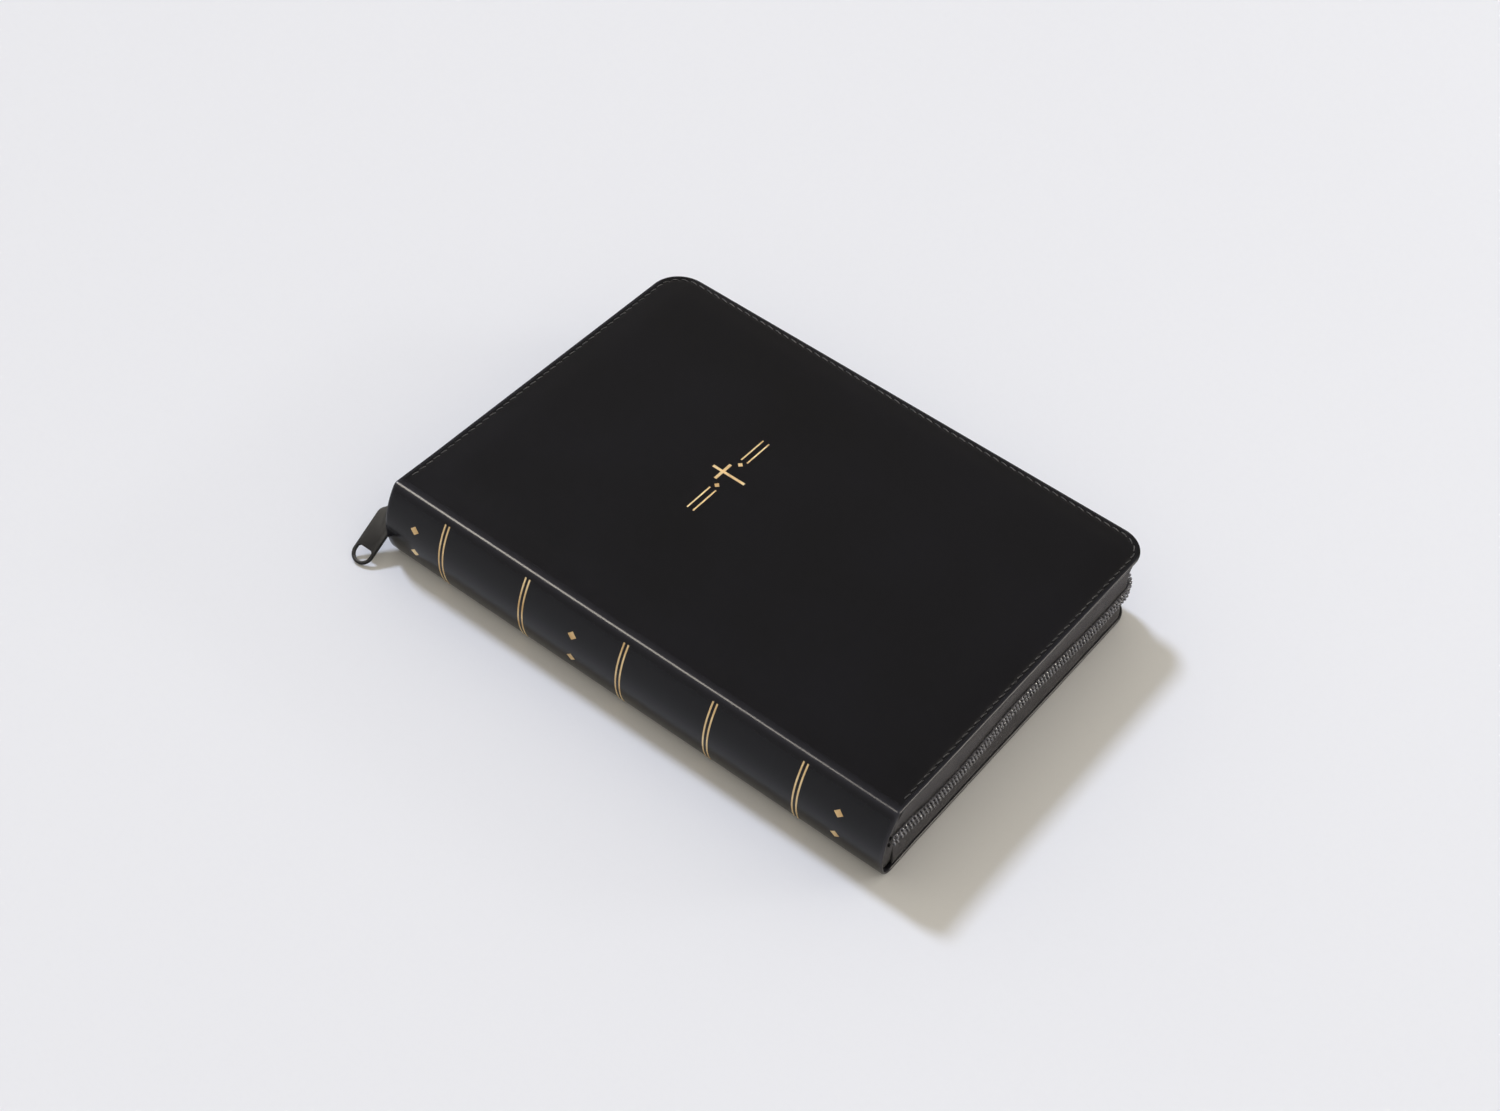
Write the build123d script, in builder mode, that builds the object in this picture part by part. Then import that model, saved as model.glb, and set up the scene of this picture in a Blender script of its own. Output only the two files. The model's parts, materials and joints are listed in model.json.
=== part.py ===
"""A zip-around Bible in padded leatherette, lying shut on its back cover.

Row frame: millimetres, +Z up. The origin is the centre of the back cover's outer face.
X runs from the spine to the fore edge, Y from the tail (foot) to the head (top) of the page.
"""
from build123d import *
import os
from math import asin, atan2, cos, degrees, sin

os.makedirs("parts", exist_ok=True)

# ---- driving sizes ----
cover_height = 215.0  # tail to head
cover_width = 156.0  # spine crest to fore edge
book_thickness = 34.0  # outside of back cover to outside of front cover
corner_radius = 14.0  # the covers' two fore corners
least_corner_radius = 1.0  # where a layer is drawn in by more than the corner allows
spine_bulge = 5.0  # how far the round of the spine stands out of its chord

# ---- cover sandwich ----
leather_thickness = 0.9
foam_thickness = 1.0
board_thickness = 1.3
lining_thickness = 0.4
flange_width = 4.0  # flat sewn border
puff_slope_width = 8.0  # the border rises to the padded panel over this width
puff_rise = 1.5
board_inset = 8.0
hinge_strip = 5.2  # the boards start this far from the crest, so that the covers fold right back
hinge_gap = 0.1
cut_spare = 1.0  # a cutting shape runs this far past what it cuts
turn_in_gap = 0.1

# ---- zip chain ----
tape_thickness = 0.8
tape_inset = 2.0  # the tape wall stands this far under the cover's edge
hem_width = 5.0  # tape sewn flat under the leather
zip_drop = 1.0  # the chain's centre line runs this far below mid thickness
row_height = 2.75  # one coil row
row_reach = 1.9  # the coil stands this far out of the tape
parting_gap = 0.5  # between the two rows
stop_length = 1.6
stop_gap = 0.4
stop_reach = 1.5  # out of the tape
welded_stop_reach = 0.25  # the upper head stop is welded flat, and swings past the slider
tail_stop_inset = 0.7  # the tail stops hide in the spine's round, this far from the crest

# ---- stitching ----
stitch_inset = 2.3
stitch_pitch = 3.65
stitch_length = 2.7
stitch_width = 0.5
stitch_height = 0.25

# ---- text block ----
page_clearance = 0.3  # between pages and closed covers
page_side_gap = 0.4  # between the pages and the slider's inner plate
fore_gap = 2.2  # between the fore edge and the tape
fore_hollow = 1.5  # the fore edge is hollow by this much
page_corner_radius = 8.0
block_split_gap = 0.2  # the two halves of the block, and of the spine, meet with this gap
flyleaf_thickness = 0.3
flyleaf_start = 1.0  # past the mull
spine_liner_thickness = 0.8
hollow_back_gap = 0.3
mull_thickness = 0.4
mull_margin = 6.0
headband_height = 1.2
headband_depth = 1.6
tape_tab_clearance = 0.1

# ---- foil ----
foil_depth = 0.1
rule_width = 0.65
rule_spacing = 1.7
rule_stop = 2.3  # the rules stop this far from either face of the book
rule_places = (81.5, 45.2, 2.15, -35.3, -72.3)
spine_lozenge_places = (94.0, 22.7, -88.8)
spine_lozenge_offset = 5.5
spine_lozenge_size = 2.6
ornament_centre = (3.0, 23.5)
cross_height = 14.0
cross_width = 9.0
cross_bar_drop = 4.4
foil_stroke = 1.1
small_lozenge_size = 1.54
side_rule_length = 13.0
side_rule_gap = 4.5
side_rule_spacing = 2.6

# ---- slider, ring and puller ----
slider_length = 12.0
slider_width = 9.0
slider_corner = 2.25
slider_plate = 1.0
slider_clearance = 0.3  # to the coil and to the tape
slider_flange = 0.7
slider_rest_end = -57.0  # the slider's end towards the fore edge when the zip is shut
slider_web = 0.3
web_length = 6.0
upper_row_gap = 5.5  # the upper row starts this far past the slider, to swing clear of it
bail_post = 0.8
bail_width = 1.8
bail_bar = 0.9
bail_length = 7.0
bail_side_gap = 0.7  # between the ring's wire and the bail's post
ring_wire = 0.5  # wire radius
ring_radius = 3.0
ring_offset = 2.0  # from the slider's spine end to the wire in the bail
ring_bar_gap = 0.3
ring_height = 3.9  # of the ring's plane above the slider's outer plate
puller_length = 27.5  # ring centre to tip
puller_width = 8.8
puller_thickness = 1.2
puller_neck = 4.0
puller_neck_end = 7.5
puller_neck_taper = 2.0
puller_hole = 0.95
puller_root = 1.45
puller_rim = 1.3
window_length = 5.0

# ---- derived places ----
crest = -cover_width / 2
fore = cover_width / 2
head = cover_height / 2
mid = book_thickness / 2
zip_height = mid - zip_drop
plate_start = crest + hinge_strip
lip_end = plate_start - hinge_gap
spine_radius = (mid**2 + spine_bulge**2) / (2 * spine_bulge)
spine_centre = crest - spine_bulge + spine_radius
panel_inset = flange_width
panel_top_inset = flange_width + puff_slope_width
flange_depth = puff_rise + leather_thickness  # depths are counted inwards from a cover's face
hem_depth = flange_depth + tape_thickness
board_depth = leather_thickness + foam_thickness
cover_depth = hem_depth + lining_thickness
page_low = cover_depth + page_clearance
page_high = book_thickness - page_low
page_back_depth = leather_thickness + spine_liner_thickness + hollow_back_gap + mull_thickness
row_inset = tape_inset - row_reach
wall_inner = tape_inset + tape_thickness
page_head = head - wall_inner - slider_clearance - slider_plate - page_side_gap
page_fore = fore - wall_inner - fore_gap
low_face = Plane.XY
high_face = Plane(origin=(0, 0, book_thickness), x_dir=(1, 0, 0), z_dir=(0, 0, -1))
low_wall_depth = zip_height - parting_gap / 2
high_wall_depth = book_thickness - zip_height - parting_gap / 2
split_low = mid - block_split_gap / 2
split_high = mid + block_split_gap / 2
tail_stop_start = crest + tail_stop_inset


def cover_plan(inset, spine_side=plate_start):
    """Inside a sketch: a cover's plan, drawn back from its three free edges."""
    length = fore - inset - spine_side
    with Locations((spine_side + length / 2, 0)):
        plan = Rectangle(length, cover_height - 2 * inset)
    fillet(plan.vertices().group_by(Axis.X)[-1], max(corner_radius - inset, least_corner_radius))


def slab(face, top, bottom, inset, mode=Mode.ADD):
    """Inside a part: a whole layer of a cover between two depths."""
    with BuildSketch(face.offset(top)) as outline:
        cover_plan(inset)
    extrude(outline.sketch, amount=bottom - top, dir=face.z_dir, mode=mode)


def border_strip(face, top, bottom, outer_inset, inner_inset):
    """Inside a part: a strip that runs round the three free edges between two depths."""
    with BuildSketch(face.offset(top)) as outside:
        cover_plan(outer_inset)
    with BuildSketch(face.offset(top)) as inside:
        cover_plan(inner_inset, plate_start - cut_spare)
    extrude(outside.sketch - inside.sketch, amount=bottom - top, dir=face.z_dir)


def puffed_panel(face, depth, mode=Mode.ADD):
    """Inside a part: the padded rise, from its foot at the flange up to the flat of the panel."""
    with BuildSketch(face.offset(depth + puff_rise)) as foot:
        cover_plan(panel_inset)
    with BuildSketch(face.offset(depth)) as crown:
        cover_plan(panel_top_inset)
    loft([foot.sketch, crown.sketch], ruled=True, mode=mode)


def spine_region(depth, low, high, reach=lip_end):
    """Inside a sketch on XZ: what lies inside the spine's round, drawn in by a depth."""
    with Locations((spine_centre, mid)):
        Circle(spine_radius - depth)
    with Locations(((spine_centre - 2 * spine_radius + reach) / 2, (low + high) / 2)):
        Rectangle(reach - spine_centre + 2 * spine_radius, high - low, mode=Mode.INTERSECT)


def spine_layer(outer, inner, low, high, inner_low, inner_high, half_length, reach=lip_end):
    """Inside a part: a layer that follows the round of the spine over the book's height."""
    with BuildSketch(Plane.XZ) as whole:
        spine_region(outer, low, high, reach)
    extrude(whole.sketch, amount=half_length, both=True)
    with BuildSketch(Plane.XZ) as hollow:
        spine_region(inner, inner_low, inner_high, reach + cut_spare)
    extrude(hollow.sketch, amount=half_length, both=True, mode=Mode.SUBTRACT)


def keep_ends(inner_y, outer_y):
    """Inside a part: keep only what lies near the head and the tail."""
    with BuildSketch(Plane.XZ) as window:
        with Locations((0, mid)):
            Rectangle(2 * cover_width, book_thickness)
    extrude(window.sketch, amount=outer_y, both=True, mode=Mode.INTERSECT)
    extrude(window.sketch, amount=inner_y, both=True, mode=Mode.SUBTRACT)


def save(part, label):
    part.label = label
    export_step(part, f"parts/{label}.step")


# ---- gold foil, pressed flush into the leather ----
with BuildPart() as front_foil:
    ox, oy = ornament_centre
    with BuildSketch(high_face.offset(0)) as ornament:
        with Locations((ox, -oy)):
            Rectangle(foil_stroke, cross_height)
        with Locations((ox, -(oy + cross_height / 2 - cross_bar_drop))):
            Rectangle(cross_width, foil_stroke)
        rule_x = cross_width / 2 + side_rule_gap + side_rule_length / 2
        for side in (-1, 1):
            with Locations((ox + side * rule_x, -oy)):
                with GridLocations(0, side_rule_spacing, 1, 2):
                    Rectangle(side_rule_length, foil_stroke / 2)
            with Locations((ox + side * (cross_width / 2 + side_rule_gap / 2), -oy)):
                Rectangle(small_lozenge_size, small_lozenge_size, rotation=45)
    extrude(amount=foil_depth)


def spine_foil(low, high, lozenge_height):
    """Inside a part: the double rules round the spine and the lozenges between them."""
    with BuildSketch(Plane.YZ.offset(crest - 2 * spine_bulge)) as marks:
        for place in rule_places:
            with Locations((place, (low + high) / 2)):
                with GridLocations(rule_spacing, 0, 2, 1):
                    Rectangle(rule_width, high - low)
        for place in spine_lozenge_places:
            with Locations((place, lozenge_height)):
                Rectangle(spine_lozenge_size, spine_lozenge_size, rotation=45)
    extrude(marks.sketch, amount=4 * spine_bulge)
    with BuildSketch(Plane.XZ) as skin:
        with Locations((spine_centre, mid)):
            Circle(spine_radius)
            Circle(spine_radius - foil_depth, mode=Mode.SUBTRACT)
    extrude(skin.sketch, amount=cover_height, both=True, mode=Mode.INTERSECT)


with BuildPart() as upper_spine_foil:
    spine_foil(split_high, book_thickness - rule_stop, mid + spine_lozenge_offset)
with BuildPart() as lower_spine_foil:
    spine_foil(rule_stop, split_low, mid - spine_lozenge_offset)


# ---- the two covers ----
def leather(face):
    """Inside a part: the outer skin, its flange turned in round the three free edges."""
    slab(face, puff_rise, flange_depth, 0)
    puffed_panel(face, 0)
    puffed_panel(face, leather_thickness, mode=Mode.SUBTRACT)
    border_strip(face, flange_depth, hem_depth, 0, tape_inset - turn_in_gap)


def foam(face):
    """Inside a part: the padding, which feathers out over the edge of the board."""
    puffed_panel(face, leather_thickness)
    slab(face, board_depth, hem_depth, board_inset, mode=Mode.SUBTRACT)


with BuildPart() as front_leather:
    leather(high_face)
    add(front_foil.part, mode=Mode.SUBTRACT)
with BuildPart() as back_leather:
    leather(low_face)
with BuildPart() as front_foam:
    foam(high_face)
with BuildPart() as back_foam:
    foam(low_face)
with BuildPart() as front_board:
    slab(high_face, board_depth, hem_depth, board_inset)
with BuildPart() as back_board:
    slab(low_face, board_depth, hem_depth, board_inset)
with BuildPart() as front_lining:
    slab(high_face, hem_depth, cover_depth, wall_inner + turn_in_gap)
with BuildPart() as back_lining:
    slab(low_face, hem_depth, cover_depth, wall_inner + turn_in_gap)

# ---- zip tapes: a hem sewn under the leather and a wall that stands beside the pages ----
def zip_tape(face, wall_depth):
    """Inside a part: the hem and the wall of one tape."""
    border_strip(face, flange_depth, hem_depth, tape_inset, tape_inset + hem_width)
    border_strip(face, hem_depth, wall_depth, tape_inset, wall_inner)


with BuildPart() as upper_zip_tape:
    zip_tape(high_face, high_wall_depth)
with BuildPart() as lower_zip_tape:
    zip_tape(low_face, low_wall_depth)


def trim_row(head_start, tail_start):
    """Inside a part: cut a coil row back to where it starts at the head and at the tail."""
    for start, side in ((head_start, 1), (tail_start, -1)):
        cut = start - plate_start + cut_spare
        with Locations((start - cut / 2, side * head, mid)):
            Box(cut, 2 * hem_width, book_thickness, mode=Mode.SUBTRACT)


slider_spine_end = slider_rest_end - slider_length
stop_start = slider_spine_end - stop_gap - stop_length
with BuildPart() as upper_zip_row:
    border_strip(high_face, high_wall_depth - row_height, high_wall_depth, row_inset, tape_inset)
    trim_row(slider_rest_end + upper_row_gap, plate_start)
with BuildPart() as lower_zip_row:
    border_strip(low_face, low_wall_depth - row_height, low_wall_depth, row_inset, tape_inset)
    trim_row(slider_spine_end, plate_start)


def stop(start, side, low, high, reach=stop_reach):
    """Inside a part: a stop on the tape's outer face, at the head (1) or the tail (-1)."""
    stop_y = head - tape_inset + reach / 2
    with Locations((start + stop_length / 2, side * stop_y, (low + high) / 2)):
        Box(stop_length, reach, high - low)


row_low = zip_height - parting_gap / 2 - row_height
row_high = zip_height + parting_gap / 2 + row_height
with BuildPart() as lower_zip_stop:
    stop(stop_start, 1, row_low, row_low + row_height)
with BuildPart() as upper_zip_stop:
    stop(stop_start, 1, row_high - row_height, row_high, welded_stop_reach)
with BuildPart() as lower_tail_stop:
    stop(tail_stop_start, -1, row_low, row_low + row_height)
with BuildPart() as upper_tail_stop:
    stop(tail_stop_start, -1, split_high, row_high)


# ---- stitching through leather and hem, round the three free edges ----
def stitches(face):
    """Inside a part: one short bar of thread for each stitch."""
    top = puff_rise
    radius = corner_radius - stitch_inset
    with BuildLine(face.offset(top - stitch_height / 2), mode=Mode.PRIVATE) as seam:
        tail_end = (plate_start + stitch_length, -(head - stitch_inset))
        tail_turn = (fore - corner_radius, -(head - stitch_inset))
        fore_low = (fore - stitch_inset, -(head - corner_radius))
        fore_high = (fore - stitch_inset, head - corner_radius)
        head_turn = (fore - corner_radius, head - stitch_inset)
        head_end = (plate_start + stitch_length, head - stitch_inset)
        Line(tail_end, tail_turn)
        RadiusArc(tail_turn, fore_low, -radius)
        Line(fore_low, fore_high)
        RadiusArc(fore_high, head_turn, -radius)
        Line(head_turn, head_end)
    path = seam.wire()
    count = int(path.length / stitch_pitch)
    places = []
    for number in range(count + 1):
        tangent = path.tangent_at(number / count)
        turn = degrees(atan2(tangent.Y, tangent.X))
        places.append(Location(path.position_at(number / count), (0, 0, turn)))
    with Locations(*places):
        Box(stitch_length, stitch_width, stitch_height)


with BuildPart() as front_stitching:
    stitches(high_face)
with BuildPart() as back_stitching:
    stitches(low_face)

# ---- spine: leather, liner, mull and headbands, split at mid thickness for the fold ----
liner_depth = leather_thickness + spine_liner_thickness
top = book_thickness
with BuildPart() as upper_spine_leather:
    spine_layer(0, leather_thickness, split_high, top, 0, top - leather_thickness, head)
    add(upper_spine_foil.part, mode=Mode.SUBTRACT)
with BuildPart() as lower_spine_leather:
    spine_layer(0, leather_thickness, 0, split_low, leather_thickness, top, head)
    add(lower_spine_foil.part, mode=Mode.SUBTRACT)
with BuildPart() as upper_spine_liner:
    spine_layer(
        leather_thickness, liner_depth, split_high, top - leather_thickness, 0, top - liner_depth, page_head
    )
with BuildPart() as lower_spine_liner:
    spine_layer(leather_thickness, liner_depth, leather_thickness, split_low, liner_depth, top, page_head)
mull_depth = page_back_depth - mull_thickness
mull_reach = spine_centre - spine_radius * cos(asin((mid - page_low) / spine_radius)) + page_back_depth
with BuildPart() as upper_mull:
    spine_layer(
        mull_depth, page_back_depth, split_high, page_high, 0, top, page_head - mull_margin, mull_reach
    )
with BuildPart() as lower_mull:
    spine_layer(
        mull_depth, page_back_depth, page_low, split_low, 0, top, page_head - mull_margin, mull_reach
    )
band_depth = page_back_depth + headband_depth
with BuildPart() as upper_headbands:
    spine_layer(
        page_back_depth, band_depth, split_high, page_high, 0, top, head, mull_reach + headband_depth
    )
    keep_ends(page_head, page_head + headband_height)
with BuildPart() as lower_headbands:
    spine_layer(page_back_depth, band_depth, page_low, split_low, 0, top, head, mull_reach + headband_depth)
    keep_ends(page_head, page_head + headband_height)


# ---- ends of the zip tape, tucked behind the spine ----
def tape_tabs(low, high):
    """Inside a part: the tape's two ends, filling the spine's round behind the pages' edge."""
    with BuildSketch(Plane.XZ) as tab:
        spine_region(liner_depth + tape_tab_clearance, low, high)
    extrude(tab.sketch, amount=head, both=True)
    keep_ends(head - wall_inner, head - tape_inset)


with BuildPart() as upper_tape_ends:
    tape_tabs(split_high, top - leather_thickness)
with BuildPart() as lower_tape_ends:
    tape_tabs(leather_thickness, split_low)

# ---- text block ----
hollow_chord = mid - page_low
hollow_radius = (hollow_chord**2 + fore_hollow**2) / (2 * fore_hollow)


def pages(low, high):
    """Inside a part: half of the block, round at the back and hollow at the fore edge."""
    with BuildSketch(Plane.XZ) as section:
        with Locations((spine_centre, mid)):
            Circle(spine_radius - page_back_depth)
        body = page_fore - spine_centre
        with Locations((spine_centre + body / 2, mid)):
            Rectangle(body, 2 * spine_radius)
        with Locations((page_fore - fore_hollow + hollow_radius, mid)):
            Circle(hollow_radius, mode=Mode.SUBTRACT)
        with Locations((0, (low + high) / 2)):
            Rectangle(2 * page_fore + cover_width, high - low, mode=Mode.INTERSECT)
    extrude(section.sketch, amount=page_head, both=True)
    round_fore_corners(low, high)


def round_fore_corners(low, high):
    """Inside a part: trim to the page's plan, with its two rounded fore corners."""
    with BuildSketch(Plane.XY.offset(low)) as plan:
        back = crest - spine_bulge
        with Locations(((page_fore + back) / 2, 0)):
            leaf = Rectangle(page_fore - back, 2 * page_head)
        fillet(leaf.vertices().group_by(Axis.X)[-1], page_corner_radius)
    extrude(plan.sketch, amount=high - low, mode=Mode.INTERSECT)


def flyleaf(low):
    """Inside a part: one plain leaf, from just inside the back of the block to the fore edge."""
    start = mull_reach + flyleaf_start
    with BuildSketch(Plane.XY.offset(low)) as leaf:
        with Locations(((start + page_fore) / 2, 0)):
            sheet = Rectangle(page_fore - start, 2 * page_head)
        fillet(sheet.vertices().group_by(Axis.X)[-1], page_corner_radius)
    extrude(leaf.sketch, amount=flyleaf_thickness)


with BuildPart() as front_pages:
    pages(split_high, page_high - flyleaf_thickness)
with BuildPart() as rear_pages:
    pages(page_low + flyleaf_thickness, split_low)
with BuildPart() as front_flyleaf:
    flyleaf(page_high - flyleaf_thickness)
with BuildPart() as rear_flyleaf:
    flyleaf(page_low)

# ---- slider: two plates joined by a thin web that runs between the rows ----
row_face = head - row_inset
tape_outer = head - tape_inset
tape_inner = head - wall_inner
outer_low = row_face + slider_clearance
outer_high = outer_low + slider_plate
inner_high = tape_inner - slider_clearance
inner_low = inner_high - slider_plate
slider_x = slider_rest_end - slider_length / 2
web_x = slider_spine_end + web_length / 2
flange_foot = tape_outer + slider_clearance
with BuildPart() as slider_body:
    with Locations((slider_x, (outer_low + outer_high) / 2, zip_height)):
        Box(slider_length, slider_plate, slider_width)
    corners = edges().filter_by(Axis.Y)
    fillet(corners, slider_corner)
    with Locations((slider_x, (inner_low + inner_high) / 2, zip_height)):
        Box(slider_length, slider_plate, slider_width)
    with Locations((web_x, (inner_low + outer_high) / 2, zip_height)):
        Box(web_length, outer_high - inner_low, slider_web)
    flange_length = slider_length - 2 * slider_corner
    for side in (-1, 1):
        flange_z = zip_height + side * (slider_width - slider_flange) / 2
        with Locations((slider_x, (flange_foot + outer_high) / 2, flange_z)):
            Box(flange_length, outer_high - flange_foot, slider_flange)

ring_y = outer_high + ring_height
wire_x = slider_spine_end + ring_offset
ring_x = wire_x - ring_radius
bail_bar_low = ring_y + ring_wire + ring_bar_gap
bail_start = wire_x - ring_wire - bail_side_gap - bail_post
with BuildPart() as slider_bail:
    for post_x in (bail_start + bail_post / 2, bail_start + bail_length - bail_post / 2):
        with Locations((post_x, (outer_high + bail_bar_low) / 2, zip_height)):
            Box(bail_post, bail_bar_low - outer_high, bail_width)
    with Locations((bail_start + bail_length / 2, bail_bar_low + bail_bar / 2, zip_height)):
        Box(bail_length, bail_bar, bail_width)

with BuildPart() as pull_ring:
    with BuildSketch(Plane.XY.offset(zip_height)) as wire:
        with Locations((ring_x + ring_radius, ring_y)):
            Circle(ring_wire)
    revolve(axis=Axis((ring_x, ring_y, zip_height), (0, 1, 0)), revolution_arc=360)

# ---- puller: a flat tab that leans down on its ring until its tip meets the table ----
lean = asin((zip_height - puller_thickness / 2) / puller_length)
puller_dir = (-cos(lean), 0, -sin(lean))
puller_face = (-sin(lean), 0, cos(lean))
puller_plane = Plane(origin=(ring_x, ring_y, zip_height), x_dir=puller_dir, z_dir=puller_face)
tip_radius = puller_width / 2
with BuildPart() as puller:
    with BuildSketch(puller_plane.offset(-puller_thickness / 2)) as tab:
        with BuildLine():
            Polyline(
                (puller_root, -puller_neck / 2),
                (puller_neck_end - puller_neck_taper, -puller_neck / 2),
                (puller_neck_end, -tip_radius),
                (puller_length - tip_radius, -tip_radius),
            )
            ThreePointArc(
                (puller_length - tip_radius, -tip_radius),
                (puller_length, 0),
                (puller_length - tip_radius, tip_radius),
            )
            Polyline(
                (puller_length - tip_radius, tip_radius),
                (puller_neck_end, tip_radius),
                (puller_neck_end - puller_neck_taper, puller_neck / 2),
                (puller_root, puller_neck / 2),
                (puller_root, -puller_neck / 2),
            )
        make_face()
        with Locations((ring_radius, 0)):
            Circle(puller_hole, mode=Mode.SUBTRACT)
        window_radius = tip_radius - puller_rim
        window_end = puller_length - puller_rim
        with BuildLine():
            Polyline(
                (window_end - window_radius, -window_radius),
                (window_end - window_length, -window_radius),
                (window_end - window_length, window_radius),
                (window_end - window_radius, window_radius),
            )
            ThreePointArc(
                (window_end - window_radius, window_radius),
                (window_end, 0),
                (window_end - window_radius, -window_radius),
            )
        make_face(mode=Mode.SUBTRACT)
    extrude(amount=puller_thickness)

# ---- write every node ----
nodes = {
    "front_leather": front_leather,
    "front_foam": front_foam,
    "front_board": front_board,
    "front_lining": front_lining,
    "front_foil": front_foil,
    "front_stitching": front_stitching,
    "upper_zip_tape": upper_zip_tape,
    "upper_zip_row": upper_zip_row,
    "upper_zip_stop": upper_zip_stop,
    "upper_tail_stop": upper_tail_stop,
    "back_leather": back_leather,
    "back_foam": back_foam,
    "back_board": back_board,
    "back_lining": back_lining,
    "back_stitching": back_stitching,
    "lower_zip_tape": lower_zip_tape,
    "lower_zip_row": lower_zip_row,
    "lower_zip_stop": lower_zip_stop,
    "lower_tail_stop": lower_tail_stop,
    "upper_spine_leather": upper_spine_leather,
    "upper_spine_liner": upper_spine_liner,
    "upper_spine_foil": upper_spine_foil,
    "upper_mull": upper_mull,
    "upper_headbands": upper_headbands,
    "upper_tape_ends": upper_tape_ends,
    "front_pages": front_pages,
    "front_flyleaf": front_flyleaf,
    "lower_spine_leather": lower_spine_leather,
    "lower_spine_liner": lower_spine_liner,
    "lower_spine_foil": lower_spine_foil,
    "lower_mull": lower_mull,
    "lower_headbands": lower_headbands,
    "lower_tape_ends": lower_tape_ends,
    "rear_pages": rear_pages,
    "rear_flyleaf": rear_flyleaf,
    "slider_body": slider_body,
    "slider_bail": slider_bail,
    "pull_ring": pull_ring,
    "puller": puller,
}
for label, node in nodes.items():
    save(node.part, label)
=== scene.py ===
"""Looks of a zip-around Bible in padded leatherette, lying shut on its back cover.

Row frame, metres: X from spine to fore edge, Y from tail to head, Z up from the back cover.
Lengths below are written in millimetres and turned to metres by MM.
"""

import json
from math import asin, atan2, cos, exp, pi, radians, sin, sqrt

import bmesh
import bpy
import numpy as np
from mathutils import Matrix, Vector, noise


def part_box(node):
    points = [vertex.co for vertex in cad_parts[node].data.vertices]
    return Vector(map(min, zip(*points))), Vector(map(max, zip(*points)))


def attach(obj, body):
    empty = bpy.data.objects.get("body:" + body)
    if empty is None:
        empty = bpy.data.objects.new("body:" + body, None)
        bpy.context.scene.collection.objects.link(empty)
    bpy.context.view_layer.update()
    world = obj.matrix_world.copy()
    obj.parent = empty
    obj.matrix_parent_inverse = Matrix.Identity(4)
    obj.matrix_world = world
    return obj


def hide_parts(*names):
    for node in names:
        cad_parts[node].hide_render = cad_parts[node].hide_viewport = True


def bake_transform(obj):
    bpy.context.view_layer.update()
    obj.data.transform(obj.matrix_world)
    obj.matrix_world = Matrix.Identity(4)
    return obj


MM = 0.001
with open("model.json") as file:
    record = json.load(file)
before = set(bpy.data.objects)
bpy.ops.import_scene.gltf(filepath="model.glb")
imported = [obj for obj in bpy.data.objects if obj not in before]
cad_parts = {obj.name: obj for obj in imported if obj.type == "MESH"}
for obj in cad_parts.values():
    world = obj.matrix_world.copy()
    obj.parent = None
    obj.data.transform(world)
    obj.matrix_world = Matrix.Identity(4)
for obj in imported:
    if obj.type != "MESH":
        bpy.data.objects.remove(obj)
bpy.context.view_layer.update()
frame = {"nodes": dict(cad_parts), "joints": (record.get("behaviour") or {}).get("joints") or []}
scene = bpy.context.scene
joints = {joint["name"]: joint for joint in frame["joints"]}


def joint_place(name):
    """A joint's point in the row frame, in millimetres."""
    return [value / MM for value in joints[name]["pos_m"]]


def node_box(node):
    """A CAD node's lowest and highest corners, in millimetres."""
    low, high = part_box(node)
    return low / MM, high / MM


# ---- sizes read from the frame ----
CREST = joint_place("front_cover_hinge")[0]
TOP = joint_place("front_cover_hinge")[2]
APEX, _, MID = joint_place("front_block_hinge")
FORE = node_box("front_leather")[1].x
HEAD = node_box("front_leather")[1].y
PLATE = node_box("front_leather")[0].x
TAPE_INSET = HEAD - node_box("lower_zip_tape")[1].y
ROW_INSET = HEAD - node_box("lower_zip_row")[1].y
ROW_LOW = node_box("lower_zip_row")[0].z
ROW_HIGH = node_box("upper_zip_row")[1].z
ZIP_Z = (ROW_LOW + ROW_HIGH) / 2
BULGE = CREST - APEX
SPINE_R = (MID**2 + BULGE**2) / (2 * BULGE)
SPINE_X = APEX + SPINE_R

# ---- sizes of the soft work ----
CORNER = 14.0  # the ring this far in is square, and starts the panel's middle
TAIL_CORNER, HEAD_CORNER = 11.0, 12.5  # radii of the covers' two free corners
FLANGE = 1.0  # thickness of the leather turned in on itself
PUFF_RUN = 13.0  # the padding swells over this width
PUFF_RISE = 0.5  # above the crest, on the front cover
EDGE_DROP = {"front": 0.3, "back": 0.9}  # of the sewn edge, below the panel's plane
STITCH_INSET = 2.3
STITCH_PITCH = 3.65
STITCH_LENGTH = 2.9
STITCH_RADIUS = 0.21
LEATHER = 0.42  # thickness of a skin
COIL_PITCH = 1.7
COIL_WIRE = 0.33  # radius of the monofilament
LOOP_OUT, LOOP_UP = 0.6, 1.08  # half sizes of a coil's loop, out of the book and up it
COIL_CENTRE = ROW_INSET + LOOP_OUT + COIL_WIRE  # of the loops, in from the covers' edge
CHAIN_HALF = 1.66  # from the parting line to the middle of a row


# ================= materials =================
def linear(hex_colour):
    """An sRGB hex value as linear RGBA."""
    values = [int(hex_colour[i : i + 2], 16) / 255 for i in (1, 3, 5)]
    return [v / 12.92 if v <= 0.04045 else ((v + 0.055) / 1.055) ** 2.4 for v in values] + [1.0]


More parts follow.
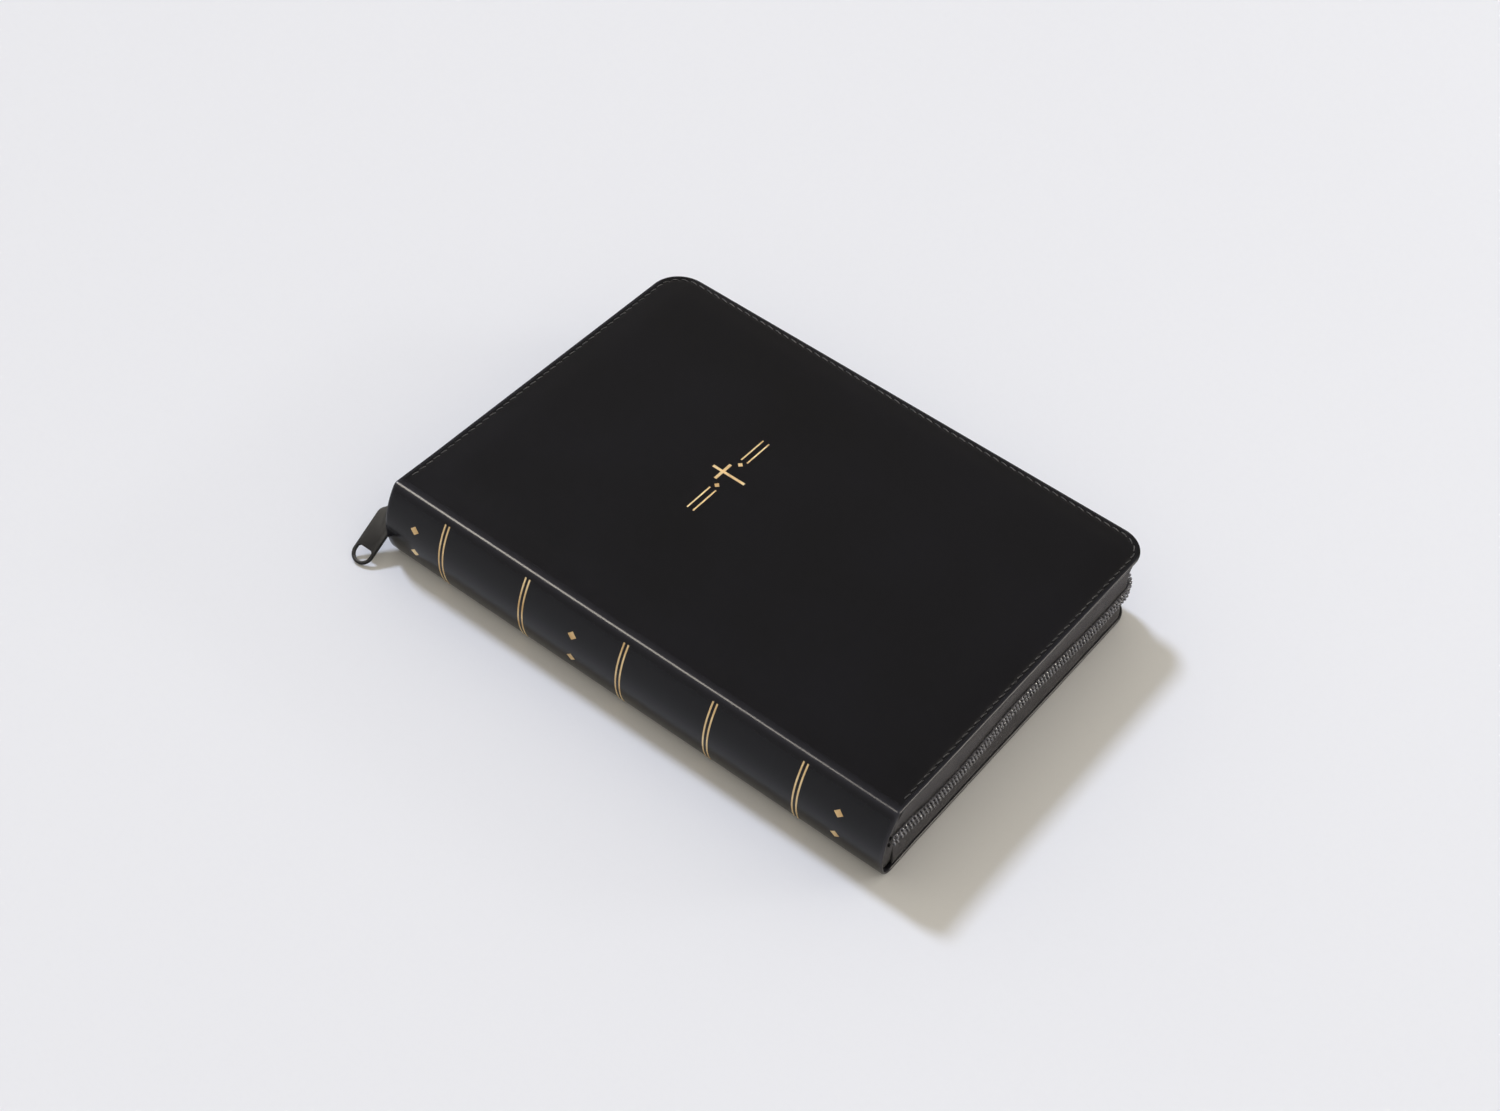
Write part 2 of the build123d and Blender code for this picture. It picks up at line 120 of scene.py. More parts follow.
def add(tree, kind, links=None, stops=(), **settings):
    """Adds one node, with its settings, its sockets set or linked, and its colour stops (place, colour)."""
    made = tree.nodes.new(kind)
    for number, (place, value) in enumerate(stops):
        line = made.color_ramp.elements
        stop = line[number] if number < 2 else line.new(place)
        stop.position = place
        stop.color = linear(value) if isinstance(value, str) else (value, value, value, 1)
    for name, value in settings.items():
        setattr(made, name, value)
    for name, value in (links or {}).items():
        socket = made.inputs[name]
        if isinstance(value, bpy.types.NodeSocket):
            tree.links.new(value, socket)
        else:
            socket.default_value = value
    return made


def material(name, finish):
    """A new material whose nodes are made by finish(tree), which returns the shader's sockets."""
    made = bpy.data.materials.new(name)
    made.use_nodes = True
    tree = made.node_tree
    tree.nodes.clear()
    shader = add(tree, "ShaderNodeBsdfPrincipled", finish(tree))
    add(tree, "ShaderNodeOutputMaterial", {"Surface": shader.outputs["BSDF"]})
    return made


def smooth_leatherette(tree):
    """PU-coated cloth, cast on smooth release paper: an even sheen over a very shallow pore grain."""
    place = add(tree, "ShaderNodeTexCoord").outputs["Object"]
    pores = add(
        tree, "ShaderNodeTexVoronoi", {"Vector": place, "Scale": 1 / (0.55 * MM), "Randomness": 1.0}
    )
    creases = add(
        tree, "ShaderNodeTexNoise",
        {"Vector": place, "Scale": 1 / (2.5 * MM), "Detail": 6.0, "Roughness": 0.65}
    )
    mottle = add(tree, "ShaderNodeTexNoise", {"Vector": place, "Scale": 1 / (38 * MM), "Detail": 3.0})
    # mask of rubbed wear and of a painted highlight along the crest and the folded edges
    rub_and_highlight = add(tree, "ShaderNodeAttribute", attribute_name="rub_and_highlight")
    base = add(
        tree, "ShaderNodeValToRGB", {"Fac": mottle.outputs["Fac"]}, ((0.3, "#0b0b0f"), (0.7, "#0f0f14"))
    ).outputs["Color"]
    # the lighter tone it lays on: partly rubbed wear, partly painted highlight
    rubbed_and_highlit = add(
        tree, "ShaderNodeMix",
        {"Factor": rub_and_highlight.outputs["Fac"], 6: base, 7: linear("#34343a")}, data_type="RGBA"
    )
    shallow = add(
        tree, "ShaderNodeBump", {"Strength": 0.16, "Distance": 0.03 * MM, "Height": pores.outputs["Distance"]}
    )
    soft = add(
        tree,
        "ShaderNodeBump",
        {
            "Strength": 0.15, "Distance": 0.05 * MM, "Height": creases.outputs["Fac"],
            "Normal": shallow.outputs["Normal"]
        },
    )
    gloss = add(
        tree, "ShaderNodeMapRange",
        {"Value": creases.outputs["Fac"], "From Min": 0.3, "From Max": 0.7, "To Min": 0.17, "To Max": 0.24}
    )
    return {
        "Base Color": rubbed_and_highlit.outputs[2],
        "Roughness": gloss.outputs["Result"],
        "Normal": soft.outputs["Normal"],
        "IOR": 1.48,
        "Specular IOR Level": 0.24,
    }


def stamped_foil(tree):
    """Gold foil, hot-stamped: a thin bright film, pitted finely by the leatherette's pores."""
    place = add(tree, "ShaderNodeTexCoord").outputs["Object"]
    grain = add(tree, "ShaderNodeTexNoise", {"Vector": place, "Scale": 1 / (0.5 * MM), "Detail": 5.0})
    broad = add(tree, "ShaderNodeTexNoise", {"Vector": place, "Scale": 1 / (9 * MM), "Detail": 2.0})
    tone = add(
        tree, "ShaderNodeValToRGB", {"Fac": broad.outputs["Fac"]}, ((0.3, "#c9a46c"), (0.7, "#f0d7a6"))
    ).outputs["Color"]
    rough = add(
        tree, "ShaderNodeMapRange",
        {"Value": grain.outputs["Fac"], "From Min": 0.3, "From Max": 0.7, "To Min": 0.28, "To Max": 0.5}
    )
    bump = add(
        tree, "ShaderNodeBump", {"Strength": 0.35, "Distance": 0.04 * MM, "Height": grain.outputs["Fac"]}
    )
    return {
        "Base Color": tone,
        "Metallic": 0.45,
        "Roughness": rough.outputs["Result"],
        "Normal": bump.outputs["Normal"],
    }


def polyester_thread(tree):
    """Bonded polyester sewing thread, twisted: fine diagonal plies with a dull glint."""
    where = add(tree, "ShaderNodeUVMap", uv_map="run").outputs["UV"]
    turned = add(tree, "ShaderNodeMapping", {"Vector": where, "Rotation": (0, 0, radians(38))})
    plies = add(
        tree, "ShaderNodeTexWave",
        {"Vector": turned.outputs["Vector"], "Scale": 1 / 0.9, "Distortion": 0.6, "Detail": 2.0}
    )
    tone = add(
        tree, "ShaderNodeValToRGB", {"Fac": plies.outputs["Fac"]}, ((0.1, "#09090b"), (0.9, "#222226"))
    ).outputs["Color"]
    bump = add(
        tree, "ShaderNodeBump", {"Strength": 0.7, "Distance": 0.08 * MM, "Height": plies.outputs["Fac"]}
    )
    return {"Base Color": tone, "Roughness": 0.48, "Normal": bump.outputs["Normal"], "Sheen Weight": 0.1}


def woven_tape(tree):
    """Polyester zip tape, woven: ribs 0.6 mm apart, coarser than real ones so that they show, and fuzz."""
    where = add(tree, "ShaderNodeUVMap", uv_map="run").outputs["UV"]
    split = add(tree, "ShaderNodeSeparateXYZ", {"Vector": where})
    along, across = split.outputs["X"], split.outputs["Y"]
    wander = add(tree, "ShaderNodeTexNoise", {"Vector": where, "Scale": 0.35, "Detail": 2.0})
    leaning = add(
        tree, "ShaderNodeMath", {0: wander.outputs["Fac"], 1: 0.9, 2: along}, operation="MULTIPLY_ADD"
    )
    phase = add(tree, "ShaderNodeMath", {0: leaning.outputs[0], 1: 2 * pi / 0.62}, operation="MULTIPLY")
    rib = add(tree, "ShaderNodeMath", {0: phase.outputs[0]}, operation="SINE")
    pick_phase = add(tree, "ShaderNodeMath", {0: across, 1: 2 * pi / 0.6}, operation="MULTIPLY")
    pick = add(tree, "ShaderNodeMath", {0: pick_phase.outputs[0]}, operation="SINE")
    weave = add(
        tree, "ShaderNodeMath", {0: pick.outputs[0], 1: 0.35, 2: rib.outputs[0]}, operation="MULTIPLY_ADD"
    )
    fuzz = add(tree, "ShaderNodeTexNoise", {"Vector": where, "Scale": 1.6, "Detail": 6.0, "Roughness": 0.75})
    height = add(
        tree, "ShaderNodeMath", {0: fuzz.outputs["Fac"], 1: 4.5, 2: weave.outputs[0]},
        operation="MULTIPLY_ADD"
    )
    level = add(tree, "ShaderNodeMapRange", {"Value": height.outputs[0], "From Min": 0.4, "From Max": 4.2})
    tone = add(
        tree, "ShaderNodeValToRGB", {"Fac": level.outputs["Result"]},
        ((0.15, "#0d0b10"), (0.5, "#1f1c23"), (0.9, "#34303a"))
    ).outputs["Color"]
    bump = add(tree, "ShaderNodeBump", {"Strength": 0.8, "Distance": 0.12 * MM, "Height": height.outputs[0]})
    return {
        "Base Color": tone,
        "Roughness": 0.85,
        "Normal": bump.outputs["Normal"],
        "Sheen Weight": 0.15,
        "Sheen Roughness": 0.5,
    }


def nylon_coil(tree):
    """Nylon monofilament, extruded and wound: smooth, slightly clear plastic with small hard highlights."""
    place = add(tree, "ShaderNodeTexCoord").outputs["Object"]
    haze = add(tree, "ShaderNodeTexNoise", {"Vector": place, "Scale": 1 / (3 * MM), "Detail": 4.0})
    # the grey is lighter than the black nylon itself: a painted highlight standing in for the glints on the
    # loops
    tone = add(
        tree, "ShaderNodeValToRGB", {"Fac": haze.outputs["Fac"]}, ((0.3, "#606066"), (0.7, "#808088"))
    ).outputs["Color"]
    rough = add(
        tree, "ShaderNodeMapRange",
        {"Value": haze.outputs["Fac"], "From Min": 0.3, "From Max": 0.7, "To Min": 0.2, "To Max": 0.32}
    )
    return {
        "Base Color": tone, "Roughness": rough.outputs["Result"], "IOR": 1.53, "Coat Weight": 0.8,
        "Coat Roughness": 0.15
    }


def enamelled_zinc(tree):
    """Die-cast zinc under baked black enamel: smooth satin, faintly orange-peeled, worn through on its rims.
    """
    place = add(tree, "ShaderNodeTexCoord").outputs["Object"]
    peel = add(tree, "ShaderNodeTexNoise", {"Vector": place, "Scale": 1 / (0.8 * MM), "Detail": 3.0})
    smear = add(tree, "ShaderNodeTexNoise", {"Vector": place, "Scale": 1 / (6 * MM), "Detail": 5.0})
    rim = add(tree, "ShaderNodeNewGeometry")
    worn = add(
        tree, "ShaderNodeValToRGB", {"Fac": rim.outputs["Pointiness"]}, ((0.53, 0.0), (0.6, 1.0))
    ).outputs["Color"]
    patchy = add(tree, "ShaderNodeMath", {0: worn, 1: smear.outputs["Fac"]}, operation="MULTIPLY")
    tone = add(
        tree, "ShaderNodeMix",
        {"Factor": patchy.outputs[0], 6: linear("#0d0d10"), 7: linear("#3a3a3e")}, data_type="RGBA"
    )
    rough = add(
        tree, "ShaderNodeMapRange",
        {"Value": smear.outputs["Fac"], "From Min": 0.3, "From Max": 0.7, "To Min": 0.34, "To Max": 0.48}
    )
    bump = add(
        tree, "ShaderNodeBump", {"Strength": 0.2, "Distance": 0.03 * MM, "Height": peel.outputs["Fac"]}
    )
    return {
        "Base Color": tone.outputs[2],
        "Metallic": 0.0,
        "Specular IOR Level": 0.3,
        "Roughness": rough.outputs["Result"],
        "Normal": bump.outputs["Normal"],
    }


def bible_paper_block(tree):
    """Thin opaque printing paper, guillotined in a block: cream edges streaked by single leaves."""
    place = add(tree, "ShaderNodeTexCoord").outputs["Object"]
    split = add(tree, "ShaderNodeSeparateXYZ", {"Vector": place})
    wander = add(tree, "ShaderNodeTexNoise", {"Vector": place, "Scale": 1 / (30 * MM), "Detail": 2.0})
    leaf = add(
        tree, "ShaderNodeMath",
        {0: split.outputs["Z"], 1: 1 / (0.28 * MM), 2: wander.outputs["Fac"]}, operation="MULTIPLY_ADD"
    )
    leaves = add(
        tree, "ShaderNodeTexNoise", {"W": leaf.outputs[0], "Scale": 1.0, "Detail": 3.0}, noise_dimensions="1D"
    )
    facing = add(
        tree, "ShaderNodeSeparateXYZ", {"Vector": add(tree, "ShaderNodeNewGeometry").outputs["True Normal"]}
    )
    flat = add(tree, "ShaderNodeMath", {0: facing.outputs["Z"]}, operation="ABSOLUTE")
    edge_tone = add(
        tree, "ShaderNodeValToRGB", {"Fac": leaves.outputs["Fac"]},
        ((0.32, "#b3a78d"), (0.5, "#e2d8c2"), (0.7, "#f3ecdb"))
    ).outputs["Color"]
    fibre = add(tree, "ShaderNodeTexNoise", {"Vector": place, "Scale": 1 / (1.2 * MM), "Detail": 6.0})
    face_tone = add(
        tree, "ShaderNodeValToRGB", {"Fac": fibre.outputs["Fac"]}, ((0.3, "#ebe3cf"), (0.7, "#f4eddc"))
    ).outputs["Color"]
    tone = add(
        tree, "ShaderNodeMix", {"Factor": flat.outputs[0], 6: edge_tone, 7: face_tone}, data_type="RGBA"
    )
    bump = add(
        tree, "ShaderNodeBump", {"Strength": 0.5, "Distance": 0.1 * MM, "Height": leaves.outputs["Fac"]}
    )
    return {"Base Color": tone.outputs[2], "Roughness": 0.82, "Normal": bump.outputs["Normal"]}


def laid_endpaper(tree):
    """Uncoated machine-made sheet: matt, with cloudy fibre."""
    place = add(tree, "ShaderNodeTexCoord").outputs["Object"]
    fibre = add(
        tree, "ShaderNodeTexNoise",
        {"Vector": place, "Scale": 1 / (1.5 * MM), "Detail": 6.0, "Roughness": 0.7}
    )
    tone = add(
        tree, "ShaderNodeValToRGB", {"Fac": fibre.outputs["Fac"]}, ((0.3, "#e6dcc6"), (0.7, "#f1e9d7"))
    ).outputs["Color"]
    bump = add(
        tree, "ShaderNodeBump", {"Strength": 0.3, "Distance": 0.05 * MM, "Height": fibre.outputs["Fac"]}
    )
    return {"Base Color": tone, "Roughness": 0.88, "Normal": bump.outputs["Normal"]}


def embossed_lining(tree):
    """Black lining paper, rolled with a small pebble: matt with a close even grain."""
    place = add(tree, "ShaderNodeTexCoord").outputs["Object"]
    pebble = add(
        tree, "ShaderNodeTexVoronoi", {"Vector": place, "Scale": 1 / (0.9 * MM)}, feature="SMOOTH_F1"
    )
    cloud = add(tree, "ShaderNodeTexNoise", {"Vector": place, "Scale": 1 / (12 * MM), "Detail": 4.0})
    tone = add(
        tree, "ShaderNodeValToRGB", {"Fac": cloud.outputs["Fac"]}, ((0.3, "#1b1b1e"), (0.7, "#242428"))
    ).outputs["Color"]
    bump = add(
        tree, "ShaderNodeBump", {"Strength": 0.5, "Distance": 0.08 * MM, "Height": pebble.outputs["Distance"]}
    )
    return {"Base Color": tone, "Roughness": 0.6, "Normal": bump.outputs["Normal"]}


def sliced_foam(tree):
    """Open-cell upholstery foam, sliced: dull off-white cells."""
    place = add(tree, "ShaderNodeTexCoord").outputs["Object"]
    cells = add(tree, "ShaderNodeTexVoronoi", {"Vector": place, "Scale": 1 / (0.7 * MM)})
    tone = add(
        tree, "ShaderNodeValToRGB", {"Fac": cells.outputs["Distance"]}, ((0.0, "#b9b4a6"), (0.6, "#dcd8cb"))
    ).outputs["Color"]
    bump = add(
        tree, "ShaderNodeBump", {"Strength": 0.8, "Distance": 0.2 * MM, "Height": cells.outputs["Distance"]}
    )
    return {"Base Color": tone, "Roughness": 0.95, "Normal": bump.outputs["Normal"]}


def grey_board(tree):
    """Millboard, pressed from waste paper: grey-brown flecked fibre."""
    place = add(tree, "ShaderNodeTexCoord").outputs["Object"]
    fleck = add(
        tree, "ShaderNodeTexNoise",
        {"Vector": place, "Scale": 1 / (1.1 * MM), "Detail": 8.0, "Roughness": 0.8}
    )
    tone = add(
        tree, "ShaderNodeValToRGB", {"Fac": fleck.outputs["Fac"]},
        ((0.35, "#5d564b"), (0.5, "#7c7466"), (0.68, "#989081"))
    ).outputs["Color"]
    bump = add(
        tree, "ShaderNodeBump", {"Strength": 0.4, "Distance": 0.08 * MM, "Height": fleck.outputs["Fac"]}
    )
    return {"Base Color": tone, "Roughness": 0.9, "Normal": bump.outputs["Normal"]}


def cotton_mull(tree):
    """Starched cotton gauze, plain woven: open square mesh at 1 mm."""
    place = add(tree, "ShaderNodeTexCoord").outputs["Object"]
    mesh = add(
        tree,
        "ShaderNodeTexBrick",
        {"Vector": place, "Scale": 1 / (2 * MM), "Color1": linear("#d9d3c2"), "Color2": linear("#cfc8b5"),
         "Mortar": linear("#8d8778"), "Mortar Size": 0.04, "Brick Width": 0.5, "Row Height": 0.5},
        offset=0.0,
    )
    bump = add(tree, "ShaderNodeBump", {"Strength": 0.6, "Distance": 0.1 * MM, "Height": mesh.outputs["Fac"]})
    return {"Base Color": mesh.outputs["Color"], "Roughness": 0.92, "Normal": bump.outputs["Normal"]}


def silk_headband(tree):
    """Headband silk, wound over a core: alternating gold and cream stitches 1 mm wide."""
    place = add(tree, "ShaderNodeTexCoord").outputs["Object"]
    split = add(tree, "ShaderNodeSeparateXYZ", {"Vector": place})
    turn = add(tree, "ShaderNodeMath", {0: split.outputs["Z"], 1: pi / MM}, operation="MULTIPLY")
    stripe = add(tree, "ShaderNodeMath", {0: turn.outputs[0]}, operation="SINE")
    tone = add(
        tree, "ShaderNodeValToRGB", {"Fac": stripe.outputs[0]}, ((0.0, "#b48a3c"), (0.5, "#e9dfc6"))
    ).outputs["Color"]
    bump = add(tree, "ShaderNodeBump", {"Strength": 0.6, "Distance": 0.1 * MM, "Height": stripe.outputs[0]})
    return {"Base Color": tone, "Roughness": 0.55, "Normal": bump.outputs["Normal"], "Sheen Weight": 0.4}


leatherette = material("smooth_pu_leatherette", smooth_leatherette)
foil = material("hot_stamped_gold_foil", stamped_foil)
thread = material("twisted_polyester_thread", polyester_thread)
tape_cloth = material("woven_polyester_tape", woven_tape)
coil_nylon = material("wound_nylon_monofilament", nylon_coil)
enamel = material("black_enamelled_zinc", enamelled_zinc)
block_paper = material("guillotined_bible_paper", bible_paper_block)
end_paper = material("uncoated_endpaper", laid_endpaper)
lining_paper = material("embossed_black_lining", embossed_lining)
foam_stuff = material("sliced_open_cell_foam", sliced_foam)
board_stuff = material("pressed_grey_board", grey_board)
mull_cloth = material("starched_cotton_mull", cotton_mull)
headband_silk = material("wound_headband_silk", silk_headband)


# ================= mesh tools =================
def solid(name, verts, faces, finish, uv=None, rub_and_highlight=None, sharp=40):
    """A mesh object from millimetre points, with its finish and, where given, its run and its mask of rubbed
    wear and painted highlight.
    """
    mesh = bpy.data.meshes.new(name)
    mesh.from_pydata([(x * MM, y * MM, z * MM) for x, y, z in verts], [], faces)
    if rub_and_highlight is not None:
        mesh.attributes.new("rub_and_highlight", "FLOAT", "POINT").data.foreach_set("value", np.array(rub_and_highlight, np.float32))
    if uv is not None:
        layer = mesh.uv_layers.new(name="run")
        corners = np.zeros(len(mesh.loops), np.int32)
        mesh.loops.foreach_get("vertex_index", corners)
        layer.data.foreach_set("uv", np.array(uv, np.float32)[corners].ravel())
    return placed(name, mesh, finish, sharp)


def placed(name, mesh, finish, sharp=40):
    """Shows a mesh as an object, smooth but for its sharp edges."""
    mesh.polygons.foreach_set("use_smooth", [True] * len(mesh.polygons))
    mesh.set_sharp_from_angle(angle=radians(sharp))
    mesh.materials.clear()
    mesh.materials.append(finish)
    made = bpy.data.objects.new(name, mesh)
    scene.collection.objects.link(made)
    return made


def outward(piece, weld=0.001):
    """Welds the piece's matching points and turns its faces outwards."""
    work = bmesh.new()
    work.from_mesh(piece.data)
    bmesh.ops.remove_doubles(work, verts=work.verts, dist=weld * MM)
    bmesh.ops.dissolve_degenerate(work, dist=weld * MM, edges=work.edges)
    bmesh.ops.recalc_face_normals(work, faces=work.faces)
    work.to_mesh(piece.data)
    work.free()
    return piece


def thicken(piece, depth, sharp=60):
    """Gives an open skin a thickness behind its face."""
    shell = piece.modifiers.new("thickness", "SOLIDIFY")
    shell.thickness = depth * MM
    shell.offset = -1
    mesh = bpy.data.meshes.new_from_object(piece.evaluated_get(bpy.context.evaluated_depsgraph_get()))
    piece.modifiers.clear()
    piece.data = mesh
    mesh.set_sharp_from_angle(angle=radians(sharp))
    return piece


def grid(rows, uv_rows=None):
    """(verts, faces, uv) of a sheet of quads through rows of points."""
    wide = len(rows[0])
    verts = [point for row in rows for point in row]
    uv = [point for row in (uv_rows or rows) for point in row]
    faces = []
    for j in range(len(rows) - 1):
        low, high = j * wide, (j + 1) * wide
        faces.extend((low + i, low + i + 1, high + i + 1, high + i) for i in range(wide - 1))
    return verts, faces, [point[:2] for point in uv]


def tube(points, radius, sides=8):
    """(verts, faces, uv) of a round tube along a line of points, with capped ends."""
    line = np.array(points, float)
    ahead = np.gradient(line, axis=0)
    ahead /= np.linalg.norm(ahead, axis=1)[:, None]
    side = np.cross(ahead[0], (0.31, 0.17, 0.93))
    verts, uv, travelled = [], [], 0.0
    for i, (place, along) in enumerate(zip(line, ahead)):
        side = side - along * side.dot(along)
        side /= np.linalg.norm(side)
        other = np.cross(along, side)
        travelled += np.linalg.norm(place - line[i - 1]) if i else 0.0
        for k in range(sides):
            a = 2 * pi * k / sides
            verts.append(tuple(place + radius * (cos(a) * side + sin(a) * other)))
            uv.append((travelled, radius * a))
    faces = []
    for i in range(len(line) - 1):
        for k in range(sides):
            m = (k + 1) % sides
            faces.append((i * sides + k, i * sides + m, (i + 1) * sides + m, (i + 1) * sides + k))
    last = (len(line) - 1) * sides
    faces.append(tuple(range(sides - 1, -1, -1)))
    faces.append(tuple(last + k for k in range(sides)))
    return verts, faces, uv


def gather(parts):
    """Joins (verts, faces, uv) lists into one."""
    verts, faces, uv = [], [], []
    for part_verts, part_faces, part_uv in parts:
        base = len(verts)
        verts.extend(part_verts)
        uv.extend(part_uv)
        faces.extend(tuple(base + v for v in face) for face in part_faces)
    return verts, faces, uv


def plate_mesh(loops, thickness, bevel, place):
    """A flat plate cut to closed loops, its edges rounded over, set in place by a matrix in millimetres."""
    outline = bpy.data.curves.new("outline", "CURVE")
    outline.dimensions = "2D"
    outline.fill_mode = "BOTH"
    outline.extrude = thickness / 2 - bevel
    outline.bevel_depth = bevel
    outline.bevel_resolution = 3
    outline.offset = -bevel
    for loop in loops:
        spline = outline.splines.new("POLY")
        spline.points.add(len(loop) - 1)
        for point, (x, y) in zip(spline.points, loop):
            point.co = (x, y, 0, 1)
        spline.use_cyclic_u = True
    holder = bpy.data.objects.new("outline", outline)
    scene.collection.objects.link(holder)
    mesh = bpy.data.meshes.new_from_object(holder.evaluated_get(bpy.context.evaluated_depsgraph_get()))
    bpy.data.objects.remove(holder)
    bpy.data.curves.remove(outline)
    mesh.transform(Matrix.Diagonal((MM, MM, MM, 1)) @ place)
    return mesh


def joined(name, meshes, finish, sharp=40):
    """One piece made of several meshes."""
    work = bmesh.new()
    for mesh in meshes:
        work.from_mesh(mesh)
        bpy.data.meshes.remove(mesh)
    bmesh.ops.remove_doubles(work, verts=work.verts, dist=0.002 * MM)
    bmesh.ops.recalc_face_normals(work, faces=work.faces)
    whole = bpy.data.meshes.new(name)
    work.to_mesh(whole)
    work.free()
    return placed(name, whole, finish, sharp)


def arc(cx, cy, radius, start, end, steps):
    """Points of an arc between two angles in degrees."""
    return [
        (cx + radius * cos(radians(a)), cy + radius * sin(radians(a)))
        for a in np.linspace(start, end, steps + 1)
    ]


def rounded_box(x0, y0, x1, y1, radius):
    """A closed loop round a rectangle with rounded corners."""
    return (
        arc(x1 - radius, y0 + radius, radius, -90, 0, 6)
        + arc(x1 - radius, y1 - radius, radius, 0, 90, 6)
        + arc(x0 + radius, y1 - radius, radius, 90, 180, 6)
        + arc(x0 + radius, y0 + radius, radius, 180, 270, 6)
    )


def smoothstep(value):
    value = min(max(value, 0.0), 1.0)
    return value * value * (3 - 2 * value)


# ================= the covers' leather =================
STEPS_X, STEPS_Y, STEPS_CORNER = 56, 76, 16
FINE = (150, 200, 40)  # steps of the lines that stitches and coils are spaced along


def free_edge(inset, start=PLATE, steps_x=STEPS_X, steps_y=STEPS_Y, steps_corner=STEPS_CORNER):
    """Points (x, y) at one inset, from the spine round tail, fore edge and head to the spine again."""
    tail_cut, head_cut = max(TAIL_CORNER, inset), max(HEAD_CORNER, inset)
    points = [(x, inset - HEAD) for x in np.linspace(start, FORE - tail_cut, steps_x + 1)]
    points += arc(FORE - tail_cut, tail_cut - HEAD, tail_cut - inset, -90, 0, steps_corner)[1:-1]
    points += [(FORE - inset, y) for y in np.linspace(tail_cut - HEAD, HEAD - head_cut, steps_y + 1)]
    points += arc(FORE - head_cut, HEAD - head_cut, head_cut - inset, 0, 90, steps_corner)[1:-1]
    return points + [(x, HEAD - inset) for x in np.linspace(FORE - head_cut, start, steps_x + 1)]


def swell(x, y, inset, cover):
    """How far a cover's face lies below the plane of its crest, at a point that far in from its edges."""
    spine_side = smoothstep((x - CREST) / 20)
    drop = EDGE_DROP[cover] * (1 - smoothstep(inset / PUFF_RUN)) * spine_side
    groove = 0.22 * exp(-(((inset - STITCH_INSET) / 0.65) ** 2)) * smoothstep((x - CREST - 2) / 4)
    if cover == "back":
        return drop + groove
    ripple = 0.14 * noise.noise((x / 34, y / 34, 3.1)) * smoothstep(inset / 12)
    return drop + groove - ripple - PUFF_RISE * smoothstep(inset / PUFF_RUN) * spine_side


# the sewn edge, from under the flange round its fold and in over the padding: (inset, depth)
FOLD = [(2.1, FLANGE), (1.2, FLANGE), (0.5, FLANGE), (0.18, 0.9), (0.04, 0.72), (0.0, 0.5), (0.04, 0.28)]
FOLD += [(0.18, 0.1), (0.5, 0.0)]
PANEL_INSETS = (1.1, 1.5, 1.8, 2.1, 2.4, 2.7, 3.1, 3.7, 4.5, 5.5, 6.7, 8.1, 9.8, 11.8, CORNER)
FOLD += [(inset, 0.0) for inset in PANEL_INSETS]


def spine_round(fillet, last_z, steps):
    """Section of the spine from the crest's rounding down to last_z: (x, z, outward x, outward z)."""
    centre_z = TOP - fillet
    centre_x = SPINE_X - sqrt((SPINE_R - fillet) ** 2 - (centre_z - MID) ** 2)
    meet = atan2(centre_z - MID, centre_x - SPINE_X)
    made = []
    for a in np.linspace(pi / 2, meet, 9):
        made.append((centre_x + fillet * cos(a), centre_z + fillet * sin(a), cos(a), sin(a)))
    for a in np.linspace(meet, pi - asin((last_z - MID) / SPINE_R), steps + 1)[1:]:
        made.append((SPINE_X + SPINE_R * cos(a), MID + SPINE_R * sin(a), cos(a), sin(a)))
    return made


def cover_skin(name, cover, fillet, join_z):
    """The skin of one cover and its share of the spine: one sheet with a folded, sewn edge."""
    section = spine_round(fillet, join_z, 20)
    start = section[0][0]
    rims = []
    for inset, depth in FOLD:
        rims.append([(x, y, TOP - swell(x, y, inset, cover) - depth) for x, y in free_edge(inset, start)])
    ys = np.linspace(CORNER - HEAD, HEAD - CORNER, STEPS_Y + 1)
    middle = []
    for y in ys:
        row = [(x, min(HEAD - abs(y), FORE - x)) for x in np.linspace(start, FORE - CORNER, STEPS_X + 1)]
        middle.append([(x, y, TOP - swell(x, y, inset, cover)) for x, inset in row])
    levels = [(inset - HEAD, inset, depth) for inset, depth in FOLD[:-1]]
    levels += [(y, HEAD - abs(y), 0.0) for y in ys]
    levels += [(HEAD - inset, inset, depth) for inset, depth in reversed(FOLD[:-1])]
    back = []
    for y, inset, depth in levels:
        row = []
        for column, (x, z, nx, nz) in enumerate(section):
            low = depth + swell(start, y, inset, cover) * smoothstep(1 - column / 12)
            row.append((x - nx * low, y, z - nz * low))
        back.append(row)
    verts, faces, _ = gather([grid(rims), grid(middle), grid(back)])
    # lighter where the leather is rubbed, plus a painted highlight: a band along the crest's top, the folded
    # edge and the spine's end rim
    rub_and_highlight = []
    for x, y, z in verts:
        edge = min(HEAD - abs(y), FORE - x)
        crest = exp(-(((x - CREST - 0.3) / 1.2) ** 2)) if z > TOP - 4 else 0.0
        rub_and_highlight.append(min(1.0, 0.8 * crest + 0.7 * exp(-((edge / 0.9) ** 2)) * (z > TOP - 3 or x < CREST)))
    face_up = cover == "front"
    if not face_up:
        verts = [(x, y, TOP - z) for x, y, z in verts]
    piece = outward(solid(name, verts, faces, leatherette, rub_and_highlight=rub_and_highlight))
    up = 1 if face_up else -1
    top_face = max(piece.data.polygons, key=lambda face: up * face.center.z)
    if top_face.normal.z * up < 0:
        piece.data.flip_normals()
    return thicken(piece, LEATHER)


def arc_x(z, out=0.0):
    """The spine's round at a height."""
    return SPINE_X - sqrt((SPINE_R + out) ** 2 - (z - MID) ** 2)


STRIP_LOW, STRIP_HIGH = MID - 3, MID + 3


